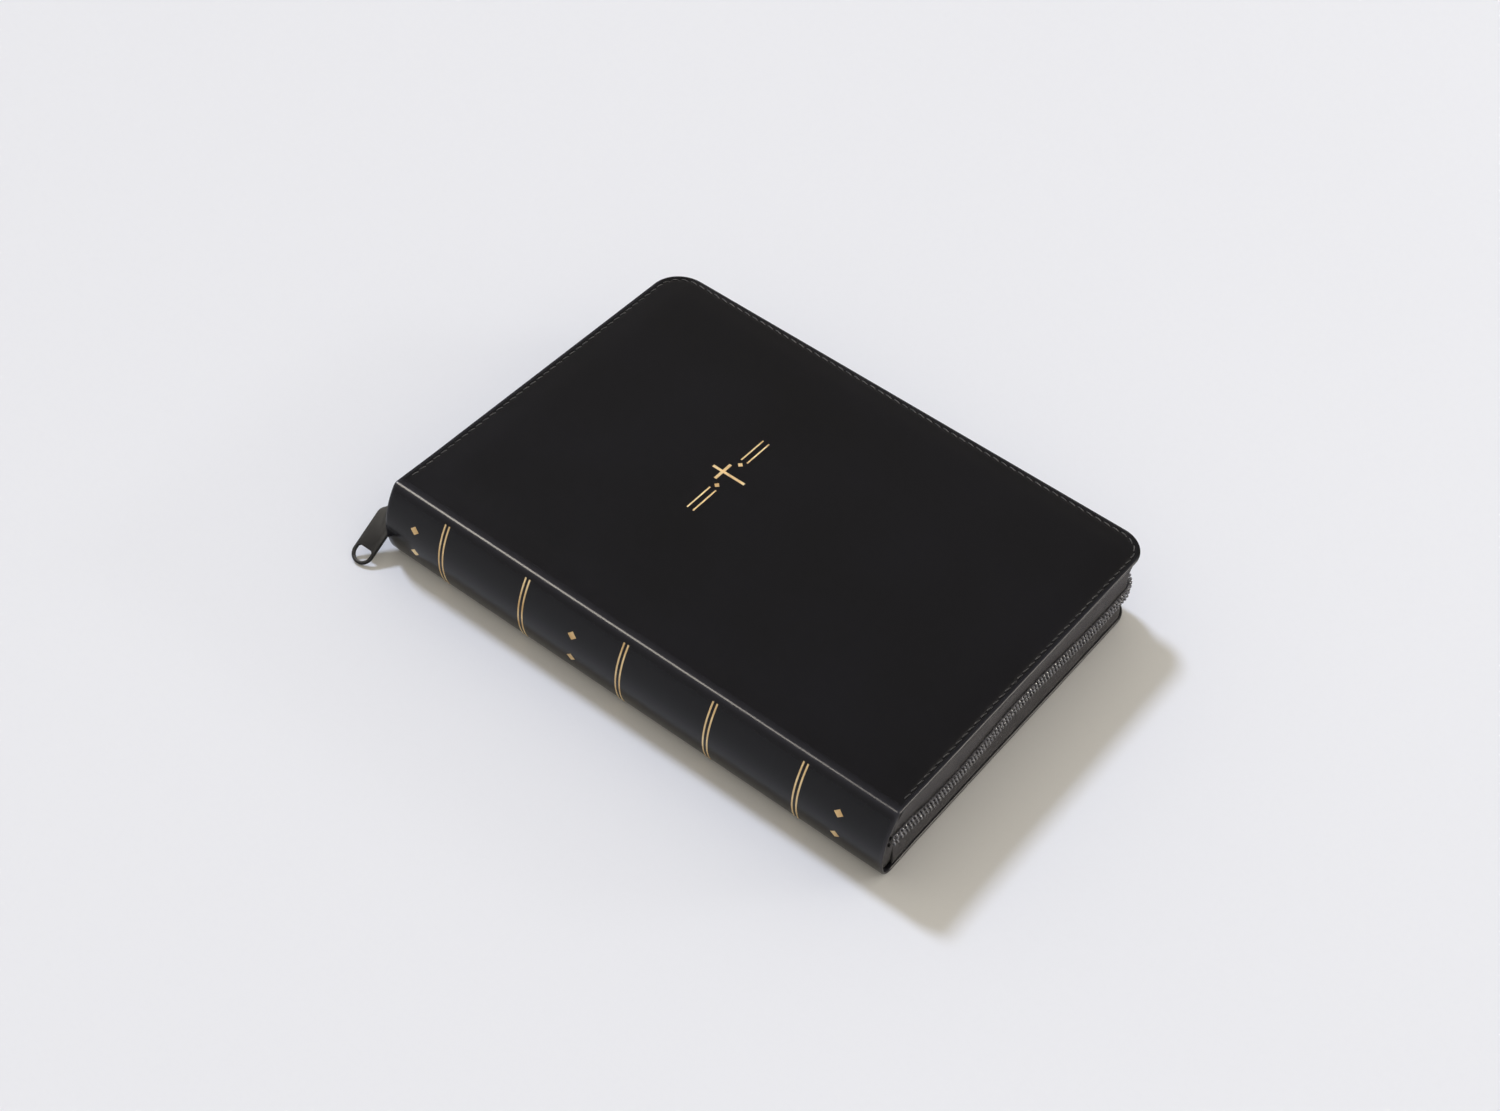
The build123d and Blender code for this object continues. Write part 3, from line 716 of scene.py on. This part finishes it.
def spine_strip(name):
    """The middle strip of the spine's leather, which takes the fold."""
    levels = [(inset - HEAD, depth) for inset, depth in FOLD[:-1]]
    levels += [(y, 0.0) for y in np.linspace(CORNER - HEAD, HEAD - CORNER, STEPS_Y + 1)]
    levels += [(HEAD - inset, depth) for inset, depth in reversed(FOLD[:-1])]
    rows = [[(arc_x(z, -depth), y, z) for z in np.linspace(STRIP_LOW, STRIP_HIGH, 9)] for y, depth in levels]
    verts, faces, _ = grid(rows)
    # lighter at the head and tail rims: rubbed wear and a painted highlight
    rub_and_highlight = [0.7 * exp(-(((HEAD - abs(y)) / 0.9) ** 2)) for x, y, z in verts]
    piece = solid(name, verts, faces, leatherette, rub_and_highlight=rub_and_highlight)
    if piece.data.polygons[len(faces) // 2].normal.x > 0:
        piece.data.flip_normals()
    return thicken(piece, LEATHER)


FRONT_ROUND, BACK_ROUND = 2.2, 6.5  # radii of the crests: the lower one sags under the book's weight
front_skin = cover_skin("front_cover_leather", "front", FRONT_ROUND, STRIP_HIGH)
back_skin = cover_skin("back_cover_leather", "back", BACK_ROUND, TOP - STRIP_LOW)
middle_skin = spine_strip("spine_fold_leather")
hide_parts("front_leather", "upper_spine_leather")
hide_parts("back_leather", "lower_spine_leather")
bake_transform(front_skin)
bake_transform(back_skin)
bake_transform(middle_skin)


# ================= stitching =================
def walk(points):
    """Distances along a line of (x, y) points."""
    line = np.array(points)
    return line, np.concatenate([[0], np.cumsum(np.linalg.norm(np.diff(line, axis=0), axis=1))])


def along(line, length, s):
    """The point and the sideways direction (out of the book) at a distance along a line."""
    x, y = (float(np.interp(s, length, line[:, k])) for k in (0, 1))
    ahead = [
        float(np.interp(s + 0.05, length, line[:, k]) - np.interp(s - 0.05, length, line[:, k]))
        for k in (0, 1)
    ]
    size = sqrt(ahead[0] ** 2 + ahead[1] ** 2)
    return x, y, ahead[1] / size, -ahead[0] / size


def sewing(name, cover, body, node):
    """Lock stitches sunk in their groove: each thread dips into its two holes and lies a little askew."""
    line, length = walk(free_edge(STITCH_INSET, PLATE + 1, *FINE))
    count = int(length[-1] / STITCH_PITCH)
    threads = []
    for number in range(count):
        begin = number * length[-1] / count + 0.3
        points = []
        for k in range(9):
            t = k / 8
            x, y, ox, oy = along(line, length, begin + STITCH_LENGTH * t)
            askew = 0.5 * (t - 0.5)
            x, y = x + ox * askew, y + oy * askew
            z = TOP - swell(x, y, STITCH_INSET, cover) + 0.34 * max(sin(pi * t), 0.0) ** 0.6 - 0.2
            points.append((x, y, z if cover == "front" else TOP - z))
        threads.append(tube(points, STITCH_RADIUS, 7))
    verts, faces, uv = gather(threads)
    piece = solid(name, verts, faces, thread, uv)
    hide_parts(node)
    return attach(piece, body)


sewing("front_cover_stitches", "front", "front_cover", "front_stitching")
sewing("back_cover_stitches", "back", "back_cover", "back_stitching")


# ================= gold foil =================
FOIL_LIFT = 0.035
FOIL_THICKNESS = 0.06


def foil_patch(corners, height, steps=8):
    """A patch of foil between four corners, laid on a surface that height(u, v) gives as a point."""
    (ax, ay), (bx, by), (cx, cy), (dx, dy) = corners
    rows = []
    for j in range(steps + 1):
        t = j / steps
        ends = (ax + (dx - ax) * t, ay + (dy - ay) * t, bx + (cx - bx) * t, by + (cy - by) * t)
        row = []
        for s in range(3):
            row.append(height(ends[0] + (ends[2] - ends[0]) * s / 2, ends[1] + (ends[3] - ends[1]) * s / 2))
        rows.append(row)
    return grid(rows)


def on_cover(x, y):
    return (x, y, TOP - swell(x, y, min(HEAD - abs(y), FORE - x), "front") + FOIL_LIFT)


def on_spine(y, z):
    return (arc_x(z, FOIL_LIFT), y, z)


def box_corners(x0, y0, x1, y1):
    return [(x0, y0), (x1, y0), (x1, y1), (x0, y1)]


def lozenge(x, y, half):
    return [(x, y - half), (x + half, y), (x, y + half), (x - half, y)]


def stamped(name, patches):
    """Foil patches as one thin piece that stands on its surface."""
    verts, faces, _ = gather(patches)
    piece = outward(solid(name, verts, faces, foil, sharp=80))
    return piece


STROKE = 1.1
ox, oy = 3.0, 23.5
half_cross, half_bar = 7.0, 4.5
bar_y = oy + half_cross - 4.4
half = STROKE / 2
rule = STROKE / 4  # half of a side rule's width
marks = [
    box_corners(ox - half, oy - half_cross, ox + half, oy + half_cross),
    box_corners(ox - half_bar, bar_y - half, ox - half, bar_y + half),
    box_corners(ox + half, bar_y - half, ox + half_bar, bar_y + half),
]
for side in (-1, 1):
    near, far = sorted((ox + side * 9.0, ox + side * 22.0))
    for line_y in (oy - 1.3, oy + 1.3):
        marks.append(box_corners(near, line_y - rule, far, line_y + rule))
    marks.append(lozenge(ox + side * 6.75, oy, 1.09))
ornament = stamped("front_cover_ornament", [foil_patch(mark, on_cover) for mark in marks])
thicken(ornament, FOIL_THICKNESS)
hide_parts("front_foil")
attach(ornament, "front_cover")

RULE_YS = (81.5, 45.2, 2.15, -35.3, -72.3)
RULE_OFFSET, RULE_HALF = 0.85, 0.325  # of a double rule's two lines
RULE_STOP = 2.3  # the rules stop this far from either face of the book
LOZENGE_YS = (94.0, 22.7, -88.8)
LOZENGE_OFFSET, LOZENGE_HALF = 5.5, 1.84


def spine_marks(name, low, high, lozenge_z):
    """The double rules and the lozenges of one band of the spine."""
    patches = []
    for y in RULE_YS:
        for line in (y - RULE_OFFSET, y + RULE_OFFSET):
            patches.append(
                foil_patch(box_corners(line - RULE_HALF, low, line + RULE_HALF, high), on_spine, 14)
            )
    if lozenge_z:
        patches += [foil_patch(lozenge(y, lozenge_z, LOZENGE_HALF), on_spine) for y in LOZENGE_YS]
    piece = stamped(name, patches)
    return thicken(piece, FOIL_THICKNESS)


upper_marks = spine_marks("upper_spine_rules", STRIP_HIGH, TOP - RULE_STOP, MID + LOZENGE_OFFSET)
lower_marks = spine_marks("lower_spine_rules", RULE_STOP, STRIP_LOW, MID - LOZENGE_OFFSET)
fold_marks = spine_marks("spine_fold_rules", STRIP_LOW, STRIP_HIGH, None)
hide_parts("upper_spine_foil")
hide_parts("lower_spine_foil")
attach(upper_marks, "front_block")
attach(lower_marks, "rear_block")
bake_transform(fold_marks)


# ================= zip tapes and coils =================
def bow(x, y):
    """How far the shut chain stands out of its line: it bulges at the tail and up the fore edge."""
    if y < 12 - HEAD:
        return (0.2 - 0.7 * cos(pi * (x - 4) / 50)) * smoothstep((x - PLATE) / 18)
    return 0.3 * (1 - smoothstep((y + HEAD - 12) / 60)) if x > 0 else 0.0


def bowed(points, share):
    """Points of a free edge, moved out by a share of the chain's bow."""
    line = np.array(points)
    ahead = np.gradient(line, axis=0)
    ahead /= np.maximum(np.linalg.norm(ahead, axis=1), 1e-9)[:, None]
    return [
        (x + ay * share * bow(x, y), y - ax * share * bow(x, y)) for (x, y), (ax, ay) in zip(points, ahead)
    ]


def tape_profile(end_depth):
    """Closed section of a tape: (inset, depth, share of the bow), from the flange's edge to its coil."""
    top = FLANGE - 0.1
    outer = []
    for t in np.linspace(0, 1, 15):
        inset = 0.95 + (TAPE_INSET - 0.95) * smoothstep(t / 0.75) + 0.25 * sin(pi * t) ** 2
        outer.append((inset, top + (end_depth - top) * t, smoothstep(t * 1.15)))
    inner = [(inset + 0.7, depth, share) for inset, depth, share in outer if depth > 3.2]
    return outer + inner[::-1] + [(7.0, 3.2, 0.0), (7.0, 2.4, 0.0), (1.7, 2.4, 0.0), (1.7, top, 0.0)]


def zip_tape(name, end_depth, face_up, body, node):
    """One tape swept round the three free edges, from spine to spine."""
    profile = tape_profile(end_depth)
    rows, uv_rows, across = [], [], 0.0
    _, run = walk(free_edge(TAPE_INSET))
    for k, (inset, depth, share) in enumerate(profile + profile[:1]):
        if k:
            across += sqrt((inset - profile[k - 1][0]) ** 2 + (depth - profile[k - 1][1]) ** 2)
        z = TOP - depth if face_up else depth
        rows.append([(x, y, z) for x, y in bowed(free_edge(inset), share)])
        uv_rows.append([(s, across) for s in run])
    verts, faces, uv = grid(rows, uv_rows)
    wide, count = len(run), len(profile)
    for end in (0, wide - 1):
        faces.append(tuple(k * wide + end for k in range(count)))
    piece = outward(solid(name, verts, faces, tape_cloth, uv))
    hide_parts(node)
    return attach(piece, body)


zip_tape("upper_zip_tape_weave", TOP - ZIP_Z - 0.2, True, "front_cover", "upper_zip_tape")
zip_tape("lower_zip_tape_weave", ZIP_Z - 0.2, False, "back_cover", "lower_zip_tape")


def loop_shape(a):
    """A point of a loop at an angle round it: (out, up)."""
    return LOOP_OUT * sin(a), LOOP_UP * cos(a)


def coil(name, z_mid, phase, start_tail, start_head, body, node):
    """One row of nylon coil: a flattened winding sewn along the tape's edge."""
    line, length = walk(bowed(free_edge(COIL_CENTRE, PLATE, *FINE), 1.0))
    tail_cut, head_cut = start_tail - PLATE, length[-1] - (start_head - PLATE)
    turns = int((head_cut - tail_cut) / COIL_PITCH)
    per_turn = 14
    points = []
    for k in range(turns * per_turn + 1):
        turn = k / per_turn + phase
        s = tail_cut + (k / per_turn + phase) * COIL_PITCH
        if s > head_cut:
            break
        x, y, ox, oy = along(line, length, s)
        a = 2 * pi * turn
        out, rise = loop_shape(a)
        points.append((x + ox * out, y + oy * out, z_mid + rise))
    verts, faces, uv = tube(points, COIL_WIRE, 7)
    piece = solid(name, verts, faces, coil_nylon, uv)
    if node:
        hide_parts(node)
    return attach(piece, body)


upper_start = node_box("slider_body")[1].x + 5.5
coil("upper_zip_coil", ZIP_Z + CHAIN_HALF, 0.0, PLATE, upper_start, "front_cover", "upper_zip_row")
lower_start = node_box("slider_body")[0].x
coil("lower_zip_coil", ZIP_Z - CHAIN_HALF, 0.5, PLATE, lower_start, "back_cover", "lower_zip_row")


def coil_tail(name, z_mid, phase, body):
    """The end of a coil row at the tail, turned in towards the spine."""
    points = []
    count = 1.6
    for k in range(int(count * 14) + 1):
        turn = phase - k / 14
        x = PLATE + (turn - phase) * COIL_PITCH
        out, rise = loop_shape(2 * pi * turn)
        points.append((x, COIL_CENTRE - HEAD - out, z_mid + rise))
    verts, faces, uv = tube(points, COIL_WIRE, 7)
    piece = solid(name, verts, faces, coil_nylon, uv)
    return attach(piece, body)


coil_tail("upper_zip_coil_end", ZIP_Z + CHAIN_HALF, 0.0, "front_block")
coil_tail("lower_zip_coil_end", ZIP_Z - CHAIN_HALF, 0.5, "rear_block")


def crimp(node, body):
    """A small crimped stop over the end of a coil row, set in from the box that holds its place."""
    low, high = node_box(node)
    middle = (low + high) / 2
    loop = rounded_box(middle.x - 0.4, middle.z - 0.7, middle.x + 0.4, middle.z + 0.7, 0.3)
    set_in = middle.y + (0.45 if middle.y < 0 else -0.2)
    stand = Matrix.Translation((0, set_in, 0)) @ Matrix.Rotation(radians(90), 4, "X")
    piece = joined(node + "_crimp", [plate_mesh([loop], min(high.y - low.y, 0.9), 0.1, stand)], enamel)
    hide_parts(node)
    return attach(piece, body)


crimp("upper_tail_stop", "front_block")
crimp("lower_tail_stop", "rear_block")
crimp("lower_zip_stop", "back_cover")


def tape_ends(name, low, high, body, node):
    """The two ends of a tape, tucked into the spine's round at the head and at the tail."""
    sheets = []
    for side in (-1, 1):
        for face, inset in ((0, TAPE_INSET + 0.1), (1, TAPE_INSET + 0.8)):
            rows = []
            for z in np.linspace(low, high, 13):
                inner = arc_x(z, -1.8)
                rows.append([(x, side * (HEAD - inset), z) for x in np.linspace(inner, PLATE - 0.05, 7)])
            uv_rows = [[(x, z) for x, _, z in row] for row in rows]
            sheets.append((rows, uv_rows))
        outer, inner = sheets[-2], sheets[-1]
        rim = []
        for rows, _ in (outer, inner):
            loop = rows[0] + [row[-1] for row in rows[1:]]
            loop += rows[-1][-2::-1] + [row[0] for row in rows[-2:0:-1]]
            rim.append(loop + loop[:1])
        sheets.append((rim, [[(x, z) for x, _, z in line] for line in rim]))
    verts, faces, uv = gather([grid(rows, uv_rows) for rows, uv_rows in sheets])
    piece = outward(solid(name, verts, faces, tape_cloth, uv))
    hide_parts(node)
    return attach(piece, body)


tape_ends("upper_tape_ends_weave", MID + 0.1, TOP - 0.9, "front_block", "upper_tape_ends")
tape_ends("lower_tape_ends_weave", 0.9, MID - 0.1, "rear_block", "lower_tape_ends")


# ================= slider, bail, ring and puller =================
body_low, body_high = node_box("slider_body")
bail_low, bail_high = node_box("slider_bail")
plate_thick = 1.0
shoulder, waist = (body_high.z - body_low.z) / 2, 3.7


def shield():
    """Outline of a slider plate: broad at the shoulders, waisted at the end where the shut chain leaves."""
    x0, x1 = body_low.x, body_high.x
    side = [(x0 + 1.6, -shoulder), (x0 + 3.2, -shoulder), (x0 + 5.5, -shoulder + 0.15)]
    side += [(x0 + 8.5, -waist - 0.35), (x1 - 1.8, -waist)]
    foot = arc(x1 - 1.8, -waist + 1.8, 1.8, -90, 0, 6) + arc(x1 - 1.8, waist - 1.8, 1.8, 0, 90, 6)
    nose = arc(x0 + 1.6, shoulder - 1.6, 1.6, 90, 180, 6) + arc(x0 + 1.6, -shoulder + 1.6, 1.6, 180, 270, 6)
    return side[1:] + foot[1:-1] + [(x, -y) for x, y in reversed(side[1:])] + nose


def upright(y):
    """Stands an (x, z) outline up in the plane across Y, at a height Y."""
    return Matrix.Translation((0, y, ZIP_Z)) @ Matrix.Rotation(radians(90), 4, "X")


meshes = [
    plate_mesh([shield()], plate_thick, 0.3, upright(body_high.y - plate_thick / 2)),
    plate_mesh([shield()], plate_thick, 0.3, upright(body_low.y + plate_thick / 2)),
]
# the wedge that parts the two rows, at the shoulders' end
wedge = [(body_low.x + 0.6, -0.15), (body_low.x + 6, -0.1), (body_low.x + 6, 0.1), (body_low.x + 0.6, 0.15)]
between = upright((body_high.y + body_low.y) / 2)
meshes.append(plate_mesh([wedge], body_high.y - body_low.y - plate_thick, 0.02, between))
rail_foot = HEAD - TAPE_INSET + 0.3
for side in (-1, 1):
    edge = [(body_low.x + 2.3, 3.85), (body_high.x - 5.2, 3.72), (body_high.x - 2.3, 3.05)]
    edge += [(body_high.x - 2.3, 3.6), (body_high.x - 5.2, 4.2), (body_low.x + 2.3, 4.45)]
    rail = [(x, side * y) for x, y in edge]
    meshes.append(plate_mesh([rail], body_high.y - rail_foot, 0.15, upright((body_high.y + rail_foot) / 2)))
slider = joined("slider_casting", meshes, enamel)
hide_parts("slider_body")
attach(slider, "zip_slider")

# the bail: a flat strap bent over the ring
foot_y, crown_y = body_high.y - 0.2, bail_high.y
x0, x1 = bail_low.x, bail_high.x
bend, inner_bend, strap_thick = 2.4, 1.55, 0.85
bend_y = crown_y - bend
outer_arch = [(x0, foot_y)] + arc(x0 + bend, bend_y, bend, 180, 90, 8)
outer_arch += arc(x1 - bend, bend_y, bend, 90, 0, 8) + [(x1, foot_y)]
inner_arch = [(x1 - strap_thick, foot_y)] + arc(x1 - bend, bend_y, inner_bend, 0, 90, 8)
inner_arch += arc(x0 + bend, bend_y, inner_bend, 90, 180, 8) + [(x0 + strap_thick, foot_y)]
bail_width = bail_high.z - bail_low.z
strap = plate_mesh([outer_arch + inner_arch], bail_width, 0.25, Matrix.Translation((0, 0, ZIP_Z)))
bail = joined("slider_bail_strap", [strap], enamel)
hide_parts("slider_bail")
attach(bail, "zip_slider")

# the ring: round wire bent to a circle, its two ends butted on the side away from the bail
ring_low, ring_high = node_box("pull_ring")
ring_mid = (ring_low + ring_high) / 2
wire = (ring_high.y - ring_low.y) / 2
ring_r = (ring_high.x - ring_low.x) / 2 - wire
butt = radians(262)
turns = np.linspace(butt, butt - radians(357), 73)
ring_line = [(ring_mid.x + ring_r * cos(a), ring_mid.y, ring_mid.z + ring_r * sin(a)) for a in turns]
ring = solid("pull_ring_wire", *tube(ring_line, wire, 12)[:2], enamel)
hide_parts("pull_ring")
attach(ring, "ring")

# the puller: a cast tab with a necked eye and a D-shaped window near its tip
pull_low, pull_high = node_box("puller")
pull_length, pull_thick = 27.5, 1.2
lean = asin((ring_mid.z - pull_thick / 2) / pull_length)
tip_r = (pull_high.y - pull_low.y) / 2
neck = 2.0
eye_mid = 1.45 + neck
hole_r = 0.95
side = [(eye_mid, -neck), (3.7, -neck), (4.4, -2.15), (5.1, -2.7), (6.0, -3.6), (7.0, -tip_r + 0.2)]
side += [(8.1, -tip_r), (pull_length - tip_r, -tip_r)]
tip = arc(pull_length - tip_r, 0, tip_r, -90, 90, 20)
eye = arc(eye_mid, 0, neck, 90, 270, 14)
tab = side[1:-1] + tip + [(x, -y) for x, y in reversed(side[1:-1])] + eye
hole = arc(ring_r, 0, hole_r, 0, 345, 23)
rim = 1.3
window_r = tip_r - rim
window = arc(pull_length - rim - window_r, 0, window_r, -90, 90, 20)
window_back, cut = pull_length - rim - 5.0, 0.7
window += [(window_back + cut, window_r), (window_back, window_r - cut)]
window += [(window_back, cut - window_r), (window_back + cut, -window_r)]
lie = Matrix(((-cos(lean), 0, -sin(lean)), (0, 1, 0), (-sin(lean), 0, cos(lean)))).to_4x4()
lie.translation = ring_mid
puller = joined("puller_tab", [plate_mesh([tab, hole, window], pull_thick, 0.32, lie)], enamel)
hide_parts("puller")
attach(puller, "zip_puller")

# ================= finishes on the frame's own pieces =================
finishes = {
    "leather": leatherette,
    "stop": enamel,
    "lining": lining_paper,
    "foam": foam_stuff,
    "board": board_stuff,
    "liner": board_stuff,
    "mull": mull_cloth,
    "headbands": headband_silk,
    "pages": block_paper,
    "flyleaf": end_paper,
}
for node_name, node in frame["nodes"].items():
    for ending, finish in finishes.items():
        if node_name.endswith(ending):
            for place in node.material_slots:
                place.material = finish

# ================= table, light and camera =================
SIZE = 3.0
table = bpy.data.meshes.new("table")
table.from_pydata(
    [(-SIZE, -SIZE, 0), (SIZE, -SIZE, 0), (SIZE, SIZE, 0), (-SIZE, SIZE, 0)], [], [(0, 1, 2, 3)]
)


def painted_table(tree):
    """Matt pale paint, sprayed: even, with no sheen."""
    place = add(tree, "ShaderNodeTexCoord").outputs["Object"]
    cloud = add(tree, "ShaderNodeTexNoise", {"Vector": place, "Scale": 3.0})
    tone = add(
        tree, "ShaderNodeValToRGB", {"Fac": cloud.outputs["Fac"]}, ((0.0, "#e9eaed"), (1.0, "#ebecef"))
    ).outputs["Color"]
    return {"Base Color": tone, "Roughness": 0.9, "Specular IOR Level": 0.1}


table.materials.append(material("matt_painted_table", painted_table))
floor = bpy.data.objects.new("table", table)
scene.collection.objects.link(floor)

world = bpy.data.worlds.new("studio")
scene.world = world
world.use_nodes = True
sky = world.node_tree
backdrop = sky.nodes["Background"]
backdrop.inputs["Color"].default_value = linear("#f2eada")
# the leather and the coils mirror dim walls and two bright panels; an even glow fills the shadows
heading = add(sky, "ShaderNodeTexCoord").outputs["Generated"]
mirrored = 0.42
panels = (  # the way to each, its strength, and its half angle with and without its soft edge
    (Vector((-0.05, 0.50, 0.86)), 24.0, 18, 9),
    (Vector((0.45, -0.58, 0.68)), 14.0, 22, 14),
)
for toward, strength, outer, inner in panels:
    facing = add(sky, "ShaderNodeVectorMath", {0: heading, 1: toward.normalized()}, operation="DOT_PRODUCT")
    edges = {
        "From Min": cos(radians(outer)), "From Max": cos(radians(inner)), "To Min": 0.0, "To Max": strength
    }
    panel = add(sky, "ShaderNodeMapRange", {"Value": facing.outputs["Value"], **edges})
    mirrored = add(
        sky, "ShaderNodeMath", {0: panel.outputs["Result"], 1: mirrored}, operation="ADD"
    ).outputs[0]
glossy = add(sky, "ShaderNodeLightPath").outputs["Is Glossy Ray"]
level = add(sky, "ShaderNodeMapRange", {"Value": glossy, "To Min": 0.72, "To Max": mirrored})
sky.links.new(level.outputs["Result"], backdrop.inputs["Strength"])


def lamp(name, kind, energy, colour, toward, **settings):
    """A light that shines along a direction towards the book."""
    data = bpy.data.lights.new(name, kind)
    data.energy = energy
    data.color = linear(colour)[:3]
    for key, value in settings.items():
        setattr(data, key, value)
    made = bpy.data.objects.new(name, data)
    back = -Vector(toward).normalized()
    made.matrix_world = Matrix.Translation(back * 1.6) @ back.to_track_quat("Z", "Y").to_matrix().to_4x4()
    scene.collection.objects.link(made)
    return made


lamp("key", "SUN", 1.97, "#dde7ff", (-0.14, -0.65, -0.75), angle=radians(9))
lamp("tail_softbox", "AREA", 2.2, "#ffffff", (-0.62, 0.66, -0.30), shape="RECTANGLE", size=0.4, size_y=0.14)

camera_data = bpy.data.cameras.new("camera")
camera_data.lens = 58.22
camera_data.sensor_width = 36.0
camera_data.clip_start = 0.01
camera = bpy.data.objects.new("camera", camera_data)
right = Vector((0.60603, -0.79022, 0.09094))
up = Vector((0.54730, 0.49721, 0.67324))
ahead = Vector((0.57722, 0.35823, -0.73381))
turn = Matrix((right, up, -ahead)).transposed().to_4x4()
camera.matrix_world = Matrix.Translation((-0.50178, -0.30300, 0.64387)) @ turn
scene.collection.objects.link(camera)
scene.camera = camera
scene.view_settings.view_transform = "Standard"
